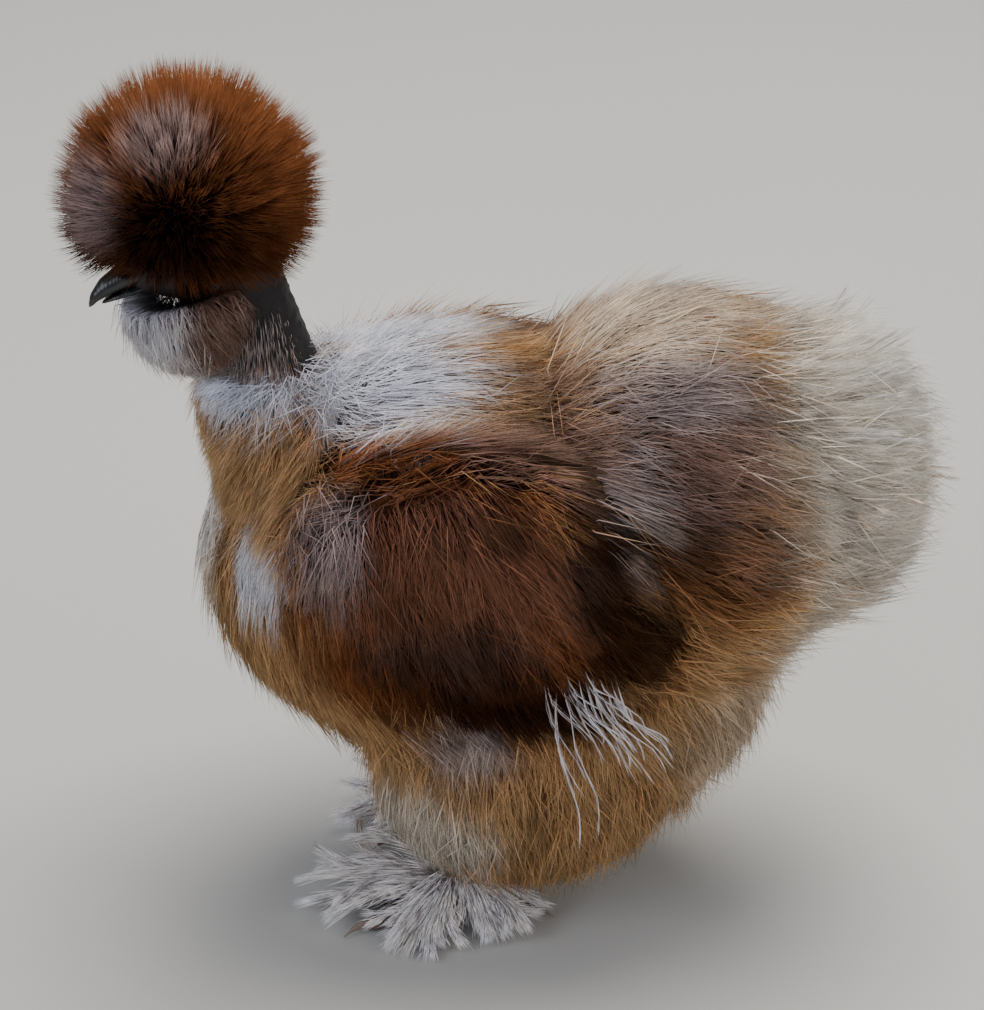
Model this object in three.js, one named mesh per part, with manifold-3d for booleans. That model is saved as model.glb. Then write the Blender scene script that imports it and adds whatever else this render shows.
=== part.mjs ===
// A silkie hen with a bare neck, standing, life size. Millimetres, +Z up.
// She looks along -X and a little to her left, which is -Y. The floor is z = 0,
// and the finished group is centred over its bounding box.
import * as THREE from 'three';
import { mergeVertices } from 'three/addons/utils/BufferGeometryUtils.js';
import Module from 'manifold-3d';

const wasm = await Module();
wasm.setup();
const V = (x, y, z) => new THREE.Vector3(x, y, z);
const degrees = THREE.MathUtils.degToRad;

// Driving dimensions

// Gap between neighbouring sub-parts, and how deep a root is sunk into what it grows from.
const GAP = 0.4;
const ROOT = 5;

// Ovals of the coat: centre, and half sizes out to the tips of the locks.
// depth is how far the core lies below the tips. tilt turns an oval's rear end down.
const BREAST = { at: V(-72, 0, 166), half: V(40, 50, 54), depth: 14 };
const TORSO = { at: V(-20, 0, 142), half: V(92, 80, 82), depth: 15 };
const SADDLE = { at: V(60, 0, 160), half: V(72, 80, 78), depth: 20 };
const ABDOMEN = { at: V(42, 0, 98), half: V(62, 70, 64), depth: 18 };
const TAIL = { at: V(104, 0, 168), half: V(54, 52, 66), depth: 25 };
const THIGH = { at: V(9, -37, 74), half: V(60, 40, 55), depth: 15 };
const WING = { at: V(-6, -58, 150), half: V(70, 27, 54), depth: 9, tilt: degrees(14) };
const NECK_BOW = { at: V(-84, 0, 199), half: V(27, 31, 18), depth: 9 };

// The head's own axes are the bird's, turned to its left and nodding down about the skull's centre.
const HEAD = { at: V(-107, -4, 257), turn: degrees(22), nod: degrees(-10) };
const SKULL = { at: V(0, 0, 0), half: V(19, 13.5, 14.5) };
const FACE = { at: V(-13, 0, -3), half: V(12, 9.5, 10) };
const CHEEKS = { at: V(-4, 0, -8), half: V(14, 12.5, 9) };
const EYE = { at: V(-9, -9.3, 1.5), radius: 4.4, lid: 1.1 };
const COMB = { at: V(-17, 0, 9), lump: 3.6, spacing: 4.2 };
const EARLOBE = { at: V(3, -12.6, -7), half: V(4.5, 1.8, 6) };
const BEAK = { root: V(-19, 0, -2.5), length: 20, halfWidth: 6.2, halfHeight: 4.6, drop: 7, gape: 5 };
const NOSTRIL = { at: V(-24.5, -4.6, 0), half: V(2.4, 1.3, 0.8) };

// The crest is a dome of locks over a smaller core. rim is how low its lowest locks point.
const CREST = { at: V(4, 0, 20), half: V(48, 48, 50) };
const CREST_CORE = { at: V(7, 0, 25), half: V(29, 30, 17) };
const CREST_RIM = degrees(-8);
const BEARD = { at: V(-4, 0, -24), half: V(26, 26, 22), depth: 10 };

// The bare neck's midline from the skull down into the breast, with its half width. Folds ring it.
const NECK = {
  from: V(-92, -2, 252), bend: V(-82, 0, 222), to: V(-68, 0, 165), thin: 13.5, thick: 19, fold: 0.7,
};

// Legs. The soles are at z = 0.
const LEG = { y: 29, leftX: -16, rightX: -6, hockBack: 26, hockZ: 48, ankleZ: 12, thin: 5.2, thick: 7 };
const TOE = { length: 44, radius: 4.2, claw: 10 };
// Each toe's turn from the bird's rear, towards its outer side, and its share of the length.
// The fifth toe turns up.
const TOES = [
  { turn: 180, share: 1, rise: 0 },
  { turn: 152, share: 0.84, rise: 0 },
  { turn: 208, share: 0.88, rise: 0 },
  { turn: 14, share: 0.62, rise: 0 },
  { turn: -34, share: 0.6, rise: 12 },
];

// Locks: the way they lie, how far apart their rows are, and their length, width and thickness.
// apart is the spacing within a row, which is the width unless it is given.
const LOCKS = {
  breast: { lie: V(0.12, 0, -1), along: 28, length: 48, width: 31, thick: 4 },
  torso: { lie: V(0.75, 0, -0.65), along: 38, length: 64, width: 40, thick: 4.8 },
  saddle: { lie: V(0.92, 0, -0.4), along: 32, length: 60, width: 36, thick: 4.8 },
  abdomen: { lie: V(0.4, 0, -0.9), along: 37, length: 55, width: 40, thick: 4.8 },
  tail: { lie: V(1, 0, -0.2), along: 31, length: 46, width: 34, thick: 4.2 },
  thigh: { lie: V(0.2, 0, -1), along: 40, length: 58, width: 43, thick: 4.8 },
  wing: { lie: V(0.55, 0, -0.85), along: 38, length: 60, width: 40, thick: 3.8 },
  neck_bow: { lie: V(-0.1, 0, -1), along: 14, length: 26, width: 20, thick: 3 },
  crest: { lie: V(0.05, 0, -1), along: 9.5, length: 20, width: 22, thick: 5, apart: 18 },
  beard: { lie: V(0.1, 0, -1), along: 14, length: 24, width: 19, thick: 3.4 },
};

// Vanes: long narrow feathers of the wing, tail and feet.
const FLIGHT = { count: 5, length: 44, width: 13, thick: 1.8 };
const TAIL_VANES = {
  root: V(84, 0, 166), width: 15, thick: 2.4, past: 3, sag: 3,
  tiers: [{ rise: 44, count: 3, fan: 30 }, { rise: 22, count: 4, fan: 44 }, { rise: 0, count: 5, fan: 54 }],
};
const FOOT_VANE = { width: 14, thick: 2, sag: 3.5 };

// Colours of the sub-parts
const COLOURS = {
  crest: 0x6b3a22, beard: 0x85705f, neck_bow: 0xb5a8a2, breast: 0xb98f63, torso: 0xb49478, saddle: 0x8a6248,
  tail: 0xd6cbb9, abdomen: 0xc29a6b, thigh: 0xb5854f, wing: 0x5f3a26, head: 0x1f1c1e, comb: 0x2a1f24,
  neck: 0x2b2729, earlobe: 0x3f6a73, eye: 0x0d0908, beak: 0x24262c, shank: 0x3a373d, foot: 0xb0a9ab,
};

let seed = 22;
const random = () => {
  seed = (seed * 1664525 + 1013904223) % 4294967296;
  return seed / 4294967296;
};
const vary = (spread) => 1 + (random() * 2 - 1) * spread;

// Solids

// Points nearer than this are one point.
const WELD = 1e-3;
const solidOf = (geometry) => {
  const bare = geometry.clone();
  bare.deleteAttribute('normal');
  bare.deleteAttribute('uv');
  const merged = mergeVertices(bare, WELD);
  return new wasm.Manifold(new wasm.Mesh({
    numProp: 3,
    vertProperties: merged.attributes.position.array,
    triVerts: new Uint32Array(merged.index.array),
  }));
};

const geometryOf = (solid) => {
  const mesh = solid.getMesh();
  return new THREE.BufferGeometry()
    .setAttribute('position', new THREE.BufferAttribute(mesh.vertProperties, 3))
    .setIndex(new THREE.BufferAttribute(mesh.triVerts, 1));
};

const fuse = (geometries) => geometries.map(solidOf).reduce((sum, solid) => sum.add(solid));

// Only the largest closed surface is kept, which fills a hollow that fusing seals and drops a loose scrap.
const largest = (solid) => solid.decompose().sort((a, b) => b.volume() - a.volume())[0];

// One closed surface on which no two corners share a place. Where it touches itself, both sides are drawn in.
const SLIM = 0.02;
const cleared = (geometry, passes = 8) => {
  const made = geometryOf(largest(solidOf(geometry)));
  made.computeVertexNormals();
  const { position, normal } = made.attributes;
  const at = (attribute, v) => V(0, 0, 0).fromBufferAttribute(attribute, v);
  const places = Array.from({ length: position.count }, (_, v) => at(position, v).divideScalar(WELD).round());
  const names = places.map((place) => place.toArray().join());
  const shared = new Set(names.filter((name, v) => names.indexOf(name) !== v));
  if (passes === 0 || shared.size === 0) return made;
  names.forEach((name, v) => {
    if (!shared.has(name)) return;
    const moved = at(position, v).addScaledVector(at(normal, v), -SLIM * vary(0.5));
    position.setXYZ(v, moved.x, moved.y, moved.z);
  });
  return cleared(made, passes - 1);
};

const oval = (form, grow = 0, around = 12, along = 8) => {
  const half = form.half.clone().addScalar(grow - (form.depth ?? 0));
  return new THREE.SphereGeometry(1, around, along).rotateX(Math.PI / 2).scale(half.x, half.y, half.z)
    .rotateY(form.tilt ?? 0).translate(form.at.x, form.at.y, form.at.z);
};
const mirrored = (form) => ({ ...form, at: V(form.at.x, -form.at.y, form.at.z) });

// The same surface on the bird's other side, with its triangles turned to face out again.
const otherSide = (geometry) => {
  const turned = geometry.toNonIndexed().scale(1, -1, 1);
  const position = turned.attributes.position;
  for (let i = 0; i < position.count; i += 3) {
    const [a, b] = [i + 1, i + 2].map((v) => V(0, 0, 0).fromBufferAttribute(position, v));
    position.setXYZ(i + 1, b.x, b.y, b.z);
    position.setXYZ(i + 2, a.x, a.y, a.z);
  }
  return turned;
};

// A tube through points. Each ring has its own half width across and half height along its up vector.
// A flat ring grows further sideways, so that its sloping faces move out as well.
const sweep = ({ points, ups, widths, heights, sides = 3, pointed = true }, grow = 0) => {
  const last = points.length - 1;
  const geometry = pointed ? new THREE.ConeGeometry(1, 1, sides, last)
    : new THREE.CylinderGeometry(1, 1, 1, sides, last);
  const position = geometry.attributes.position;
  const rings = points.map((point, i) => {
    const tangent = points[Math.min(i + 1, last)].clone().sub(points[Math.max(i - 1, 0)]).normalize();
    const side = tangent.clone().cross(Array.isArray(ups) ? ups[i] : ups).normalize();
    return { point, tangent, side, up: side.clone().cross(tangent) };
  });
  for (let v = 0; v < position.count; v += 1) {
    const t = position.getY(v) + 0.5;
    const i = Math.round(t * last);
    const { point, tangent, side, up } = rings[i];
    const unit = pointed ? Math.max(1 - t, 1e-6) : 1;
    const end = (i === last ? 1 : 0) - (i === 0 ? 1 : 0);
    const flatness = heights[i] > 0 ? widths[i] / heights[i] : 0;
    const wider = grow * Math.max(1, flatness / 2);
    const placed = point.clone().addScaledVector(tangent, end * grow)
      .addScaledVector(side, position.getX(v) / unit * (widths[i] + wider))
      .addScaledVector(up, position.getZ(v) / unit * (heights[i] + grow));
    position.setXYZ(v, placed.x, placed.y, placed.z);
  }
  return geometry;
};

// The coat's cores as a field: how far a point lies outside one oval's core, or outside several joined.

const outside = (form, point) => {
  const half = form.half.clone().subScalar(form.depth ?? 0);
  const q = point.clone().sub(form.at).applyAxisAngle(V(0, 1, 0), -(form.tilt ?? 0)).divide(half);
  const k = q.length();
  return k * (k - 1) / Math.max(q.divide(half).length(), 1e-6);
};
const BLEND = 9;
const distance = (forms, point) => forms.map((form) => outside(form, point)).reduce((a, b) => {
  const h = Math.max(BLEND - Math.abs(a - b), 0) / BLEND;
  return Math.min(a, b) - h * h * BLEND / 4;
});
const normalAt = (forms, point) => {
  const at = (step) => distance(forms, point.clone().add(step));
  const slope = (step) => at(step) - at(step.clone().negate());
  return V(slope(V(0.5, 0, 0)), slope(V(0, 0.5, 0)), slope(V(0, 0, 0.5))).normalize();
};
const settle = (forms, point, height) => {
  for (let step = 0; step < 4; step += 1) {
    point.addScaledVector(normalAt(forms, point), height - distance(forms, point));
  }
  return point;
};

// Roots in rows over an oval's core, each row set off from the last like tiles. Rows ring the lie's axis.
const rows = (form, lie, { along, width, apart = width }) => {
  const half = form.half.clone().subScalar(form.depth ?? 0);
  const pole = lie.clone().normalize().negate();
  const across = pole.clone().cross(V(0, 1, 0)).normalize();
  const place = (rise, turn) => pole.clone().multiplyScalar(Math.cos(rise))
    .addScaledVector(across, Math.sin(rise) * Math.cos(turn))
    .addScaledVector(V(0, 1, 0), Math.sin(rise) * Math.sin(turn))
    .multiply(half);
  const size = place(Math.PI / 4, 0).length();
  const count = Math.round(Math.PI * size / along);
  return Array.from({ length: count }, (_, row) => {
    const rise = Math.PI * (row + 0.6) / count;
    const turns = Array.from({ length: 12 }, (__, i) => place(rise, Math.PI * i / 6));
    const ring = new THREE.CatmullRomCurve3(turns, true);
    const roots = Math.max(Math.round(ring.getLength() / apart), 3);
    return Array.from({ length: roots }, (__, i) => ring.getPointAt((i + (row % 2) / 2) / roots)
      .applyAxisAngle(V(0, 1, 0), form.tilt ?? 0).add(form.at));
  }).flat();
};

// A flat tapered lock with a ridge on its outer face. It starts sunk in the core, follows the coat's lie
// and lifts out to its tip. The shares run from root to tip. A triangle's half side is TRIANGLE of its
// circle. SHORTEST keeps some slide where the surface faces along the lie.
const LOCK_WIDTHS = [0.72, 1, 0];
const LOCK_THICKNESS = [1, 0.85, 0];
const LOCK_LIFTS = [0, 0.74, 1];
const TRIANGLE = Math.cos(degrees(30));
const SHORTEST = 0.1;
const lock = (forms, root, liftAt, { lie, length, width, thick }) => {
  const size = vary(0.14);
  const sway = V(random() - 0.5, random() - 0.5, random() - 0.5).multiplyScalar(0.5);
  const tip = vary(0.08);
  const point = root.clone();
  const points = [];
  const ups = [];
  LOCK_LIFTS.forEach((share, i) => {
    settle(forms, point, i === 0 ? -ROOT : share * tip * liftAt(point));
    const up = normalAt(forms, point);
    points.push(point.clone());
    ups.push(up);
    const along = lie.clone().normalize().addScaledVector(sway, i / 2);
    const facing = Math.max(along.dot(up), 0);
    along.addScaledVector(up, -along.dot(up)).normalize();
    const slide = Math.sqrt(Math.max(1 - facing * facing, SHORTEST));
    point.addScaledVector(along, slide * length * size / (LOCK_LIFTS.length - 1));
  });
  return {
    points,
    ups,
    widths: LOCK_WIDTHS.map((share) => share * width / 2 / TRIANGLE),
    heights: LOCK_THICKNESS.map((share) => share * thick / 2),
  };
};

// A narrow vane from a sunk root to a tip, bowed along up by sag.
const VANE_WIDTHS = [0.6, 1, 0];
const vane = (root, tip, up, sag, { width, thick }) => ({
  points: VANE_WIDTHS.map((_, i) => {
    const t = i / (VANE_WIDTHS.length - 1);
    return root.clone().lerp(tip, t).addScaledVector(up, sag * 4 * t * (1 - t));
  }),
  ups: up,
  widths: VANE_WIDTHS.map((share) => share * width / 2 / TRIANGLE),
  heights: LOCK_THICKNESS.map((share) => share * thick / 2),
});

// How far an oval's tips are from a point inside it, along a direction.
const reach = (form, from, away) => {
  const p = from.clone().sub(form.at).divide(form.half);
  const d = away.clone().divide(form.half);
  const b = p.dot(d) / d.lengthSq();
  return -b + Math.sqrt(b * b - (p.lengthSq() - 1) / d.lengthSq());
};
const direction = (turn, rise) => V(Math.cos(turn), Math.sin(turn), 0).multiplyScalar(Math.cos(rise))
  .setZ(Math.sin(rise));

// Sub-parts, each as a function of how far it is grown. A grown copy cuts its neighbours clear.

const parts = [];
const part = (name, make, cuts = []) => parts.push({ name, make, cuts });

const headMatrix = new THREE.Matrix4().makeRotationFromEuler(new THREE.Euler(0, HEAD.nod, HEAD.turn, 'ZYX'))
  .setPosition(HEAD.at);
const onHead = (geometries) => geometries.map((geometry) => geometry.applyMatrix4(headMatrix));
const SIDES = [['left', -1], ['right', 1]];
const onSide = (form, sign) => (sign < 0 ? form : mirrored(form));

for (const [side, sign] of SIDES) {
  const { x, y, z } = onSide(EYE, sign).at;
  part(`eye_${side}`, (grow) => onHead([
    new THREE.SphereGeometry(EYE.radius + grow, 8, 6).translate(x, y, z),
  ]));
  part(`earlobe_${side}`, (grow) => onHead([oval(onSide(EARLOBE, sign), grow, 8, 6)]));
}

const shares = (size, ...list) => list.map((share) => share * size);
const beakLine = (...steps) => steps
  .map(([far, drop]) => V(-far * BEAK.length, 0, -drop * BEAK.drop).add(BEAK.root));
part('beak_upper', (grow) => onHead([sweep({
  points: beakLine([0, 0], [0.35, 0.03], [0.65, 0.28], [0.88, 0.66], [1, 1.06]),
  ups: V(0, 0, 1),
  sides: 10,
  widths: shares(BEAK.halfWidth, 1, 0.9, 0.62, 0.34, 0),
  heights: shares(BEAK.halfHeight, 1, 0.88, 0.64, 0.42, 0),
}, grow)]), onHead(SIDES.map(([, sign]) => oval(onSide(NOSTRIL, sign), 0, 6, 4))));
part('beak_lower', (grow) => onHead([sweep({
  points: beakLine([0, 0.72], [0.3, 0.78], [0.56, 0.9], [0.78, 1.08]),
  ups: V(0, 0, 1),
  sides: 10,
  widths: shares(BEAK.halfWidth, 0.85, 0.76, 0.5, 0),
  heights: shares(BEAK.halfHeight, 0.5, 0.42, 0.28, 0),
}, grow)]));

// The head has a ring of lid round each eye, and the line of the mouth runs back from the bill.
const lid = (sign) => new THREE.TorusGeometry(EYE.radius - 0.4, EYE.lid, 4, 8).rotateX(Math.PI / 2)
  .translate(EYE.at.x, sign * (Math.abs(EYE.at.y) + 2.4), EYE.at.z);
const gape = (sign) => new THREE.BoxGeometry(BEAK.gape, 4, 0.6)
  .translate(BEAK.root.x + 3, sign * (BEAK.halfWidth + 1.6), BEAK.root.z - 3.6);
part('head', (grow) => onHead([
  oval(SKULL, grow, 12, 9), oval(FACE, grow, 10, 7), oval(CHEEKS, grow, 10, 7), lid(-1), lid(1),
]), onHead([gape(-1), gape(1)]));

const lumps = [[0, 0, 0.6], [-1, 0.7, 0], [-1, -0.7, 0], [0.9, 0.9, 0.2], [0.9, -0.9, 0.2]];
part('comb', (grow) => onHead(lumps.map(([x, y, z]) => new THREE.SphereGeometry(COMB.lump + grow, 6, 4)
  .translate(COMB.at.x + x * COMB.spacing, COMB.at.y + y * COMB.spacing, COMB.at.z + z * COMB.spacing))));

const neckLine = new THREE.QuadraticBezierCurve3(NECK.from, NECK.bend, NECK.to).getPoints(8);
const neckSizes = neckLine.map((_, i) => {
  const t = i / (neckLine.length - 1);
  return NECK.thin + (NECK.thick - NECK.thin) * t * t + (i % 2 ? NECK.fold : 0);
});
part('neck', (grow) => [sweep({
  points: neckLine, ups: V(0, 1, 0), sides: 10, pointed: false, widths: neckSizes, heights: neckSizes,
}, grow)]);

// Groups of vanes on a foot: the turns of the first and last, how high they start and end, and how far
// they reach.
const FOOT_GROUPS = [
  { turns: [194, 166], start: 9, ends: [16, 11], far: [54, 54], count: 3 },
  { turns: [142, 98], start: 8, ends: [5, 4], far: [46, 38], count: 3 },
  { turns: [66, 34], start: 8, ends: [6, 9], far: [36, 38], count: 2 },
];

// A leg: a bare shank, a foot of five clawed toes, and stringy vanes that fan out from its outer side.
const leg = (side, sign, footX) => {
  const ankle = V(footX, LEG.y * sign, LEG.ankleZ);
  const hock = ankle.clone().add(V(LEG.hockBack, 0, LEG.hockZ - LEG.ankleZ));
  const shankSizes = [LEG.thick, LEG.thick, LEG.thin, LEG.thin, LEG.thin];
  part(`shank_${side}`, (grow) => [sweep({
    points: [V(-8, 0, 20).add(hock), hock, hock.clone().lerp(ankle, 0.5), ankle, V(-1, 0, -6).add(ankle)],
    ups: V(0, 1, 0),
    sides: 8,
    pointed: false,
    widths: shankSizes,
    heights: shankSizes,
  }, grow)]);
  const at = (turn, far, z) => V(Math.cos(degrees(turn)), sign * Math.sin(degrees(turn)), 0)
    .multiplyScalar(far).add(ankle).setZ(z);
  const toes = TOES.map(({ turn, share, rise }) => {
    const size = TOE.length * share;
    const r = TOE.radius;
    return {
      points: [at(turn, 0, r), at(turn, 0.55 * size, r - 0.7 + rise * 0.4), at(turn, size, r - 0.8 + rise),
        at(turn, size + TOE.claw, 1.4 + rise)],
      ups: V(0, 0, 1),
      sides: 5,
      widths: shares(r, 1, 0.9, 0.7, 0),
      heights: shares(r, 1, 0.9, 0.7, 0),
    };
  });
  const vanes = FOOT_GROUPS.flatMap((group) => Array.from({ length: group.count }, (_, i) => {
    const t = i / (group.count - 1);
    const [turn, far, end] = [group.turns, group.far, group.ends].map(([a, b]) => a + (b - a) * t);
    const tip = at(turn, far * vary(0.08), end);
    return vane(at(turn, 3, group.start), tip, V(0, 0, 1), FOOT_VANE.sag, FOOT_VANE);
  }));
  part(`foot_${side}`, (grow) => [
    oval({ at: ankle.clone().setZ(5), half: V(9, 8, 6.5) }, grow, 10, 6),
    ...[...toes, ...vanes].map((shape) => sweep(shape, grow)),
  ]);
};
leg('left', -1, LEG.leftX);
leg('right', 1, LEG.rightX);

// Crest and beard, on the head's own axes. The crest's locks stand out all round the crown.
const crestLift = (point) => outside(CREST_CORE, point) - outside(CREST, point);
const crestLocks = rows(CREST_CORE, LOCKS.crest.lie, LOCKS.crest)
  .filter((root) => root.z > CREST.at.z + Math.tan(CREST_RIM) * CREST_CORE.half.x)
  .map((root) => lock([CREST_CORE], root, crestLift, LOCKS.crest));
part('crest', (grow) => onHead([oval(CREST_CORE, grow), ...crestLocks.map((shape) => sweep(shape, grow))]));

const beardLocks = rows(BEARD, LOCKS.beard.lie, LOCKS.beard)
  .filter((root) => root.x < 12 && [SKULL, FACE, CHEEKS].every((form) => outside(form, root) > 0.5))
  .map((root) => lock([BEARD, SKULL, FACE, CHEEKS], root, () => BEARD.depth, LOCKS.beard));
part('beard', (grow) => onHead([
  oval(BEARD, grow, 10, 7), ...beardLocks.map((shape) => sweep(shape, grow)),
]));

const BODY = [BREAST, TORSO, SADDLE, ABDOMEN, TAIL, THIGH, mirrored(THIGH), WING, mirrored(WING)];
// Locks over one oval, left out where another oval of the body covers the root.
const coatLocks = (form, size) => rows(form, size.lie, size)
  .filter((root) => BODY.every((other) => other === form || outside(other, root) > 1))
  .map((root) => lock(BODY, root, () => form.depth, size));

// The wing's flight vanes hang from its lower edge, from front to rear, each over the next.
const wingEdge = (t) => V(-0.55 + 1.3 * t, -1, -0.62 + 0.12 * t).multiply(WING.half).add(WING.at);
const flight = Array.from({ length: FLIGHT.count }, (_, i) => {
  const t = i / (FLIGHT.count - 1);
  const root = settle(BODY, wingEdge(t), -2);
  const tip = V(0.15 + 0.8 * t, 0, -1 + 0.4 * t).multiplyScalar(FLIGHT.length * vary(0.08)).add(root);
  return vane(root, settle(BODY, tip, 5 + 5 * t), V(0, -1, 0.2), 3, FLIGHT);
});
const wingLocks = coatLocks(WING, LOCKS.wing)
  .filter(({ points }) => points[0].z > WING.at.z - 0.45 * WING.half.z);
const wing = (grow) => [oval(WING, grow), ...[...wingLocks, ...flight].map((shape) => sweep(shape, grow))];
const thighLocks = coatLocks(THIGH, LOCKS.thigh);
const thigh = (grow) => [oval(THIGH, grow), ...thighLocks.map((shape) => sweep(shape, grow))];

const bowLocks = rows(NECK_BOW, LOCKS.neck_bow.lie, LOCKS.neck_bow)
  .filter((root) => root.z > NECK_BOW.at.z - 6)
  .map((root) => lock([NECK_BOW, BREAST, TORSO], root, () => NECK_BOW.depth, LOCKS.neck_bow));
part('neck_bow', (grow) => [oval(NECK_BOW, grow), ...bowLocks.map((shape) => sweep(shape, grow))]);
for (const [name, form] of Object.entries({ breast: BREAST, torso: TORSO, saddle: SADDLE })) {
  const locks = coatLocks(form, LOCKS[name]);
  part(name, (grow) => [oval(form, grow), ...locks.map((shape) => sweep(shape, grow))]);
}

part('wing_left', wing);
// The right wing is one smooth oval out to its tips.
part('wing_right', (grow) => [oval({ ...mirrored(WING), depth: 0 }, grow, 24, 16)]);

// Tail: vanes in tiers that fan out to the rear, over locks.
const tailVanes = TAIL_VANES.tiers.flatMap((tier) => Array.from({ length: tier.count }, (_, i) => {
  const { root, past, sag } = TAIL_VANES;
  const { rise, count, fan } = tier;
  const away = direction(degrees(fan * (2 * i / (count - 1) - 1)), degrees(rise * vary(0.08)));
  const far = reach(TAIL, root, away) + past * vary(0.5);
  const start = root.clone().addScaledVector(away, far / 4);
  return vane(start, root.clone().addScaledVector(away, far), V(0, 0, 1), sag, TAIL_VANES);
}));
const tailLocks = coatLocks(TAIL, LOCKS.tail);
part('tail', (grow) => [
  oval(TAIL, grow), ...[...tailVanes, ...tailLocks].map((shape) => sweep(shape, grow)),
]);

const abdomenLocks = coatLocks(ABDOMEN, LOCKS.abdomen);
part('abdomen', (grow) => [oval(ABDOMEN, grow), ...abdomenLocks.map((shape) => sweep(shape, grow))]);
part('thigh_left', thigh);
part('thigh_right', (grow) => thigh(grow).map(otherSide));

// Assembly. A part is cut clear of every part named before it, and stands on flats at the floor.

const floor = solidOf(new THREE.BoxGeometry(1000, 1000, 100).translate(0, 0, -50));
const grown = [];
const surfaces = parts.map(({ name, make, cuts }) => {
  let solid = fuse(make(0));
  for (const cutter of [floor, ...grown, ...cuts.map(solidOf)]) solid = solid.subtract(cutter);
  grown.push(largest(fuse(make(GAP))));
  return { name, geometry: geometryOf(largest(solid)) };
});
const box = surfaces.reduce((sum, { geometry }) => {
  geometry.computeBoundingBox();
  return sum.union(geometry.boundingBox);
}, new THREE.Box3());
const middle = box.getCenter(V(0, 0, 0));

const bird = new THREE.Group();
for (const { name, geometry } of surfaces) {
  const kind = name.replace(/_(left|right|upper|lower)$/, '');
  const look = { color: COLOURS[kind], roughness: kind === 'eye' ? 0.1 : 0.8 };
  const placed = cleared(geometry.translate(-middle.x, -middle.y, -box.min.z));
  const mesh = new THREE.Mesh(placed, new THREE.MeshStandardMaterial(look));
  mesh.name = name;
  bird.add(mesh);
}

export default bird;
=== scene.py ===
"""A silkie hen with a bare neck, standing: a life-size model with a coat of loose, hair-like feathers.

Sizes here are millimetres on the hen's own axes. She looks along -X, her left is -Y and the floor is
z = 0. to_row() turns them to metres in the row's frame.
"""
import math

import bmesh
import bpy
import numpy as np
from mathutils import Matrix, Vector
from mathutils.kdtree import KDTree


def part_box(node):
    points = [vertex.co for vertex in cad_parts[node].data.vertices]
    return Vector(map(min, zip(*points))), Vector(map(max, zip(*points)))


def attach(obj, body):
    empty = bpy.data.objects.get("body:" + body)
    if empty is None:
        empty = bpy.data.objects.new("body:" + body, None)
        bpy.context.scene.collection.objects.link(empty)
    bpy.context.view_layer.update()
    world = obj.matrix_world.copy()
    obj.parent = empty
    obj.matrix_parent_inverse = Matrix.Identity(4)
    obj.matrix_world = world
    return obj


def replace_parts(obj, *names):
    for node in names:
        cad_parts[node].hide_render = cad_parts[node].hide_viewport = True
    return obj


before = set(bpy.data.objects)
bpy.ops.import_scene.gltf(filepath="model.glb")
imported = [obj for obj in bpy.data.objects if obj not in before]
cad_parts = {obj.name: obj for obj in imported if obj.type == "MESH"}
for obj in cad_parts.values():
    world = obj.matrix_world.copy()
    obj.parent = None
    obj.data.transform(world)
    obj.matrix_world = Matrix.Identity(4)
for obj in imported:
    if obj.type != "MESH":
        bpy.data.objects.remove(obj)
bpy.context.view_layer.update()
rng = np.random.default_rng(20)
QUICK = 1.0


def vec(*numbers):
    return np.array(numbers, float)


def pick(low, high, count=None):
    """Even random numbers between low and high."""
    return rng.uniform(low, high, count)


def unit(v):
    return v / np.maximum(np.linalg.norm(v, axis=-1, keepdims=True), 1e-9)


def smooth(low, high, x):
    """Rises softly from 0 at low to 1 at high, or falls where high is the lower."""
    t = np.clip((x - low) / (high - low), 0, 1)
    return t * t * (3 - 2 * t)


def oval(at, half, depth=0.0, tilt=0.0):
    """An oval of the coat: its centre, half sizes out to the tips, how deep the core lies, and tilt."""
    return {"at": vec(*at), "half": vec(*half), "depth": depth, "tilt": math.radians(tilt)}


BREAST = oval((-72, 0, 166), (40, 50, 54), 14)
TORSO = oval((-20, 0, 142), (92, 80, 82), 15)
SADDLE = oval((60, 0, 160), (72, 80, 78), 20)
ABDOMEN = oval((42, 0, 98), (62, 70, 64), 18)
TAIL = oval((104, 0, 168), (54, 52, 66), 25)
THIGH = oval((9, -37, 74), (60, 40, 55), 15)
WING = oval((-6, -58, 150), (70, 27, 54), 9, 14)
NECK_BOW = oval((-84, 0, 199), (27, 31, 18), 9)


def mirrored(form):
    return {**form, "at": form["at"] * vec(1, -1, 1)}


BODY = [BREAST, TORSO, SADDLE, ABDOMEN, TAIL, THIGH, mirrored(THIGH), WING, mirrored(WING)]

# The head's own axes, turned to its left and nodding down about the skull's centre.
HEAD_AT = vec(-107, -4, 257)
HEAD_TURN = Matrix.Rotation(math.radians(22), 3, "Z") @ Matrix.Rotation(math.radians(-10), 3, "Y")
HEAD_AXES = np.array(HEAD_TURN)
SKULL = oval((0, 0, 0), (19, 13.5, 14.5))
FACE = oval((-13, 0, -3), (12, 9.5, 10))
CHEEKS = oval((-4, 0, -8), (14, 12.5, 9))
BROW = oval((-8, 0, 7), (12, 11.5, 5))
CREST = oval((4, 0, 20), (48, 48, 46))
BEARD = oval((-4, 0, -24), (26, 26, 22), 10)
EYE_AT = vec(-9, -9.3, 1.5)
EYE_RADIUS = 4.4


def from_head(points):
    return points @ HEAD_AXES.T + HEAD_AT


# Where the hen's own axes lie in the row's frame, read from the left eye.
low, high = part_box("eye_left")
SHIFT = np.array((low + high) / 2) * 1000 - from_head(EYE_AT)


def to_row(points):
    return (np.asarray(points, float) + SHIFT) / 1000


SKIN_UNDER = 3.0    # how far the body's skin lies under the cores
BLEND = 9.0         # over what distance two cores flow into each other
PROBE = 0.7         # how far to each side the slope of the joined cores is felt


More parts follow.
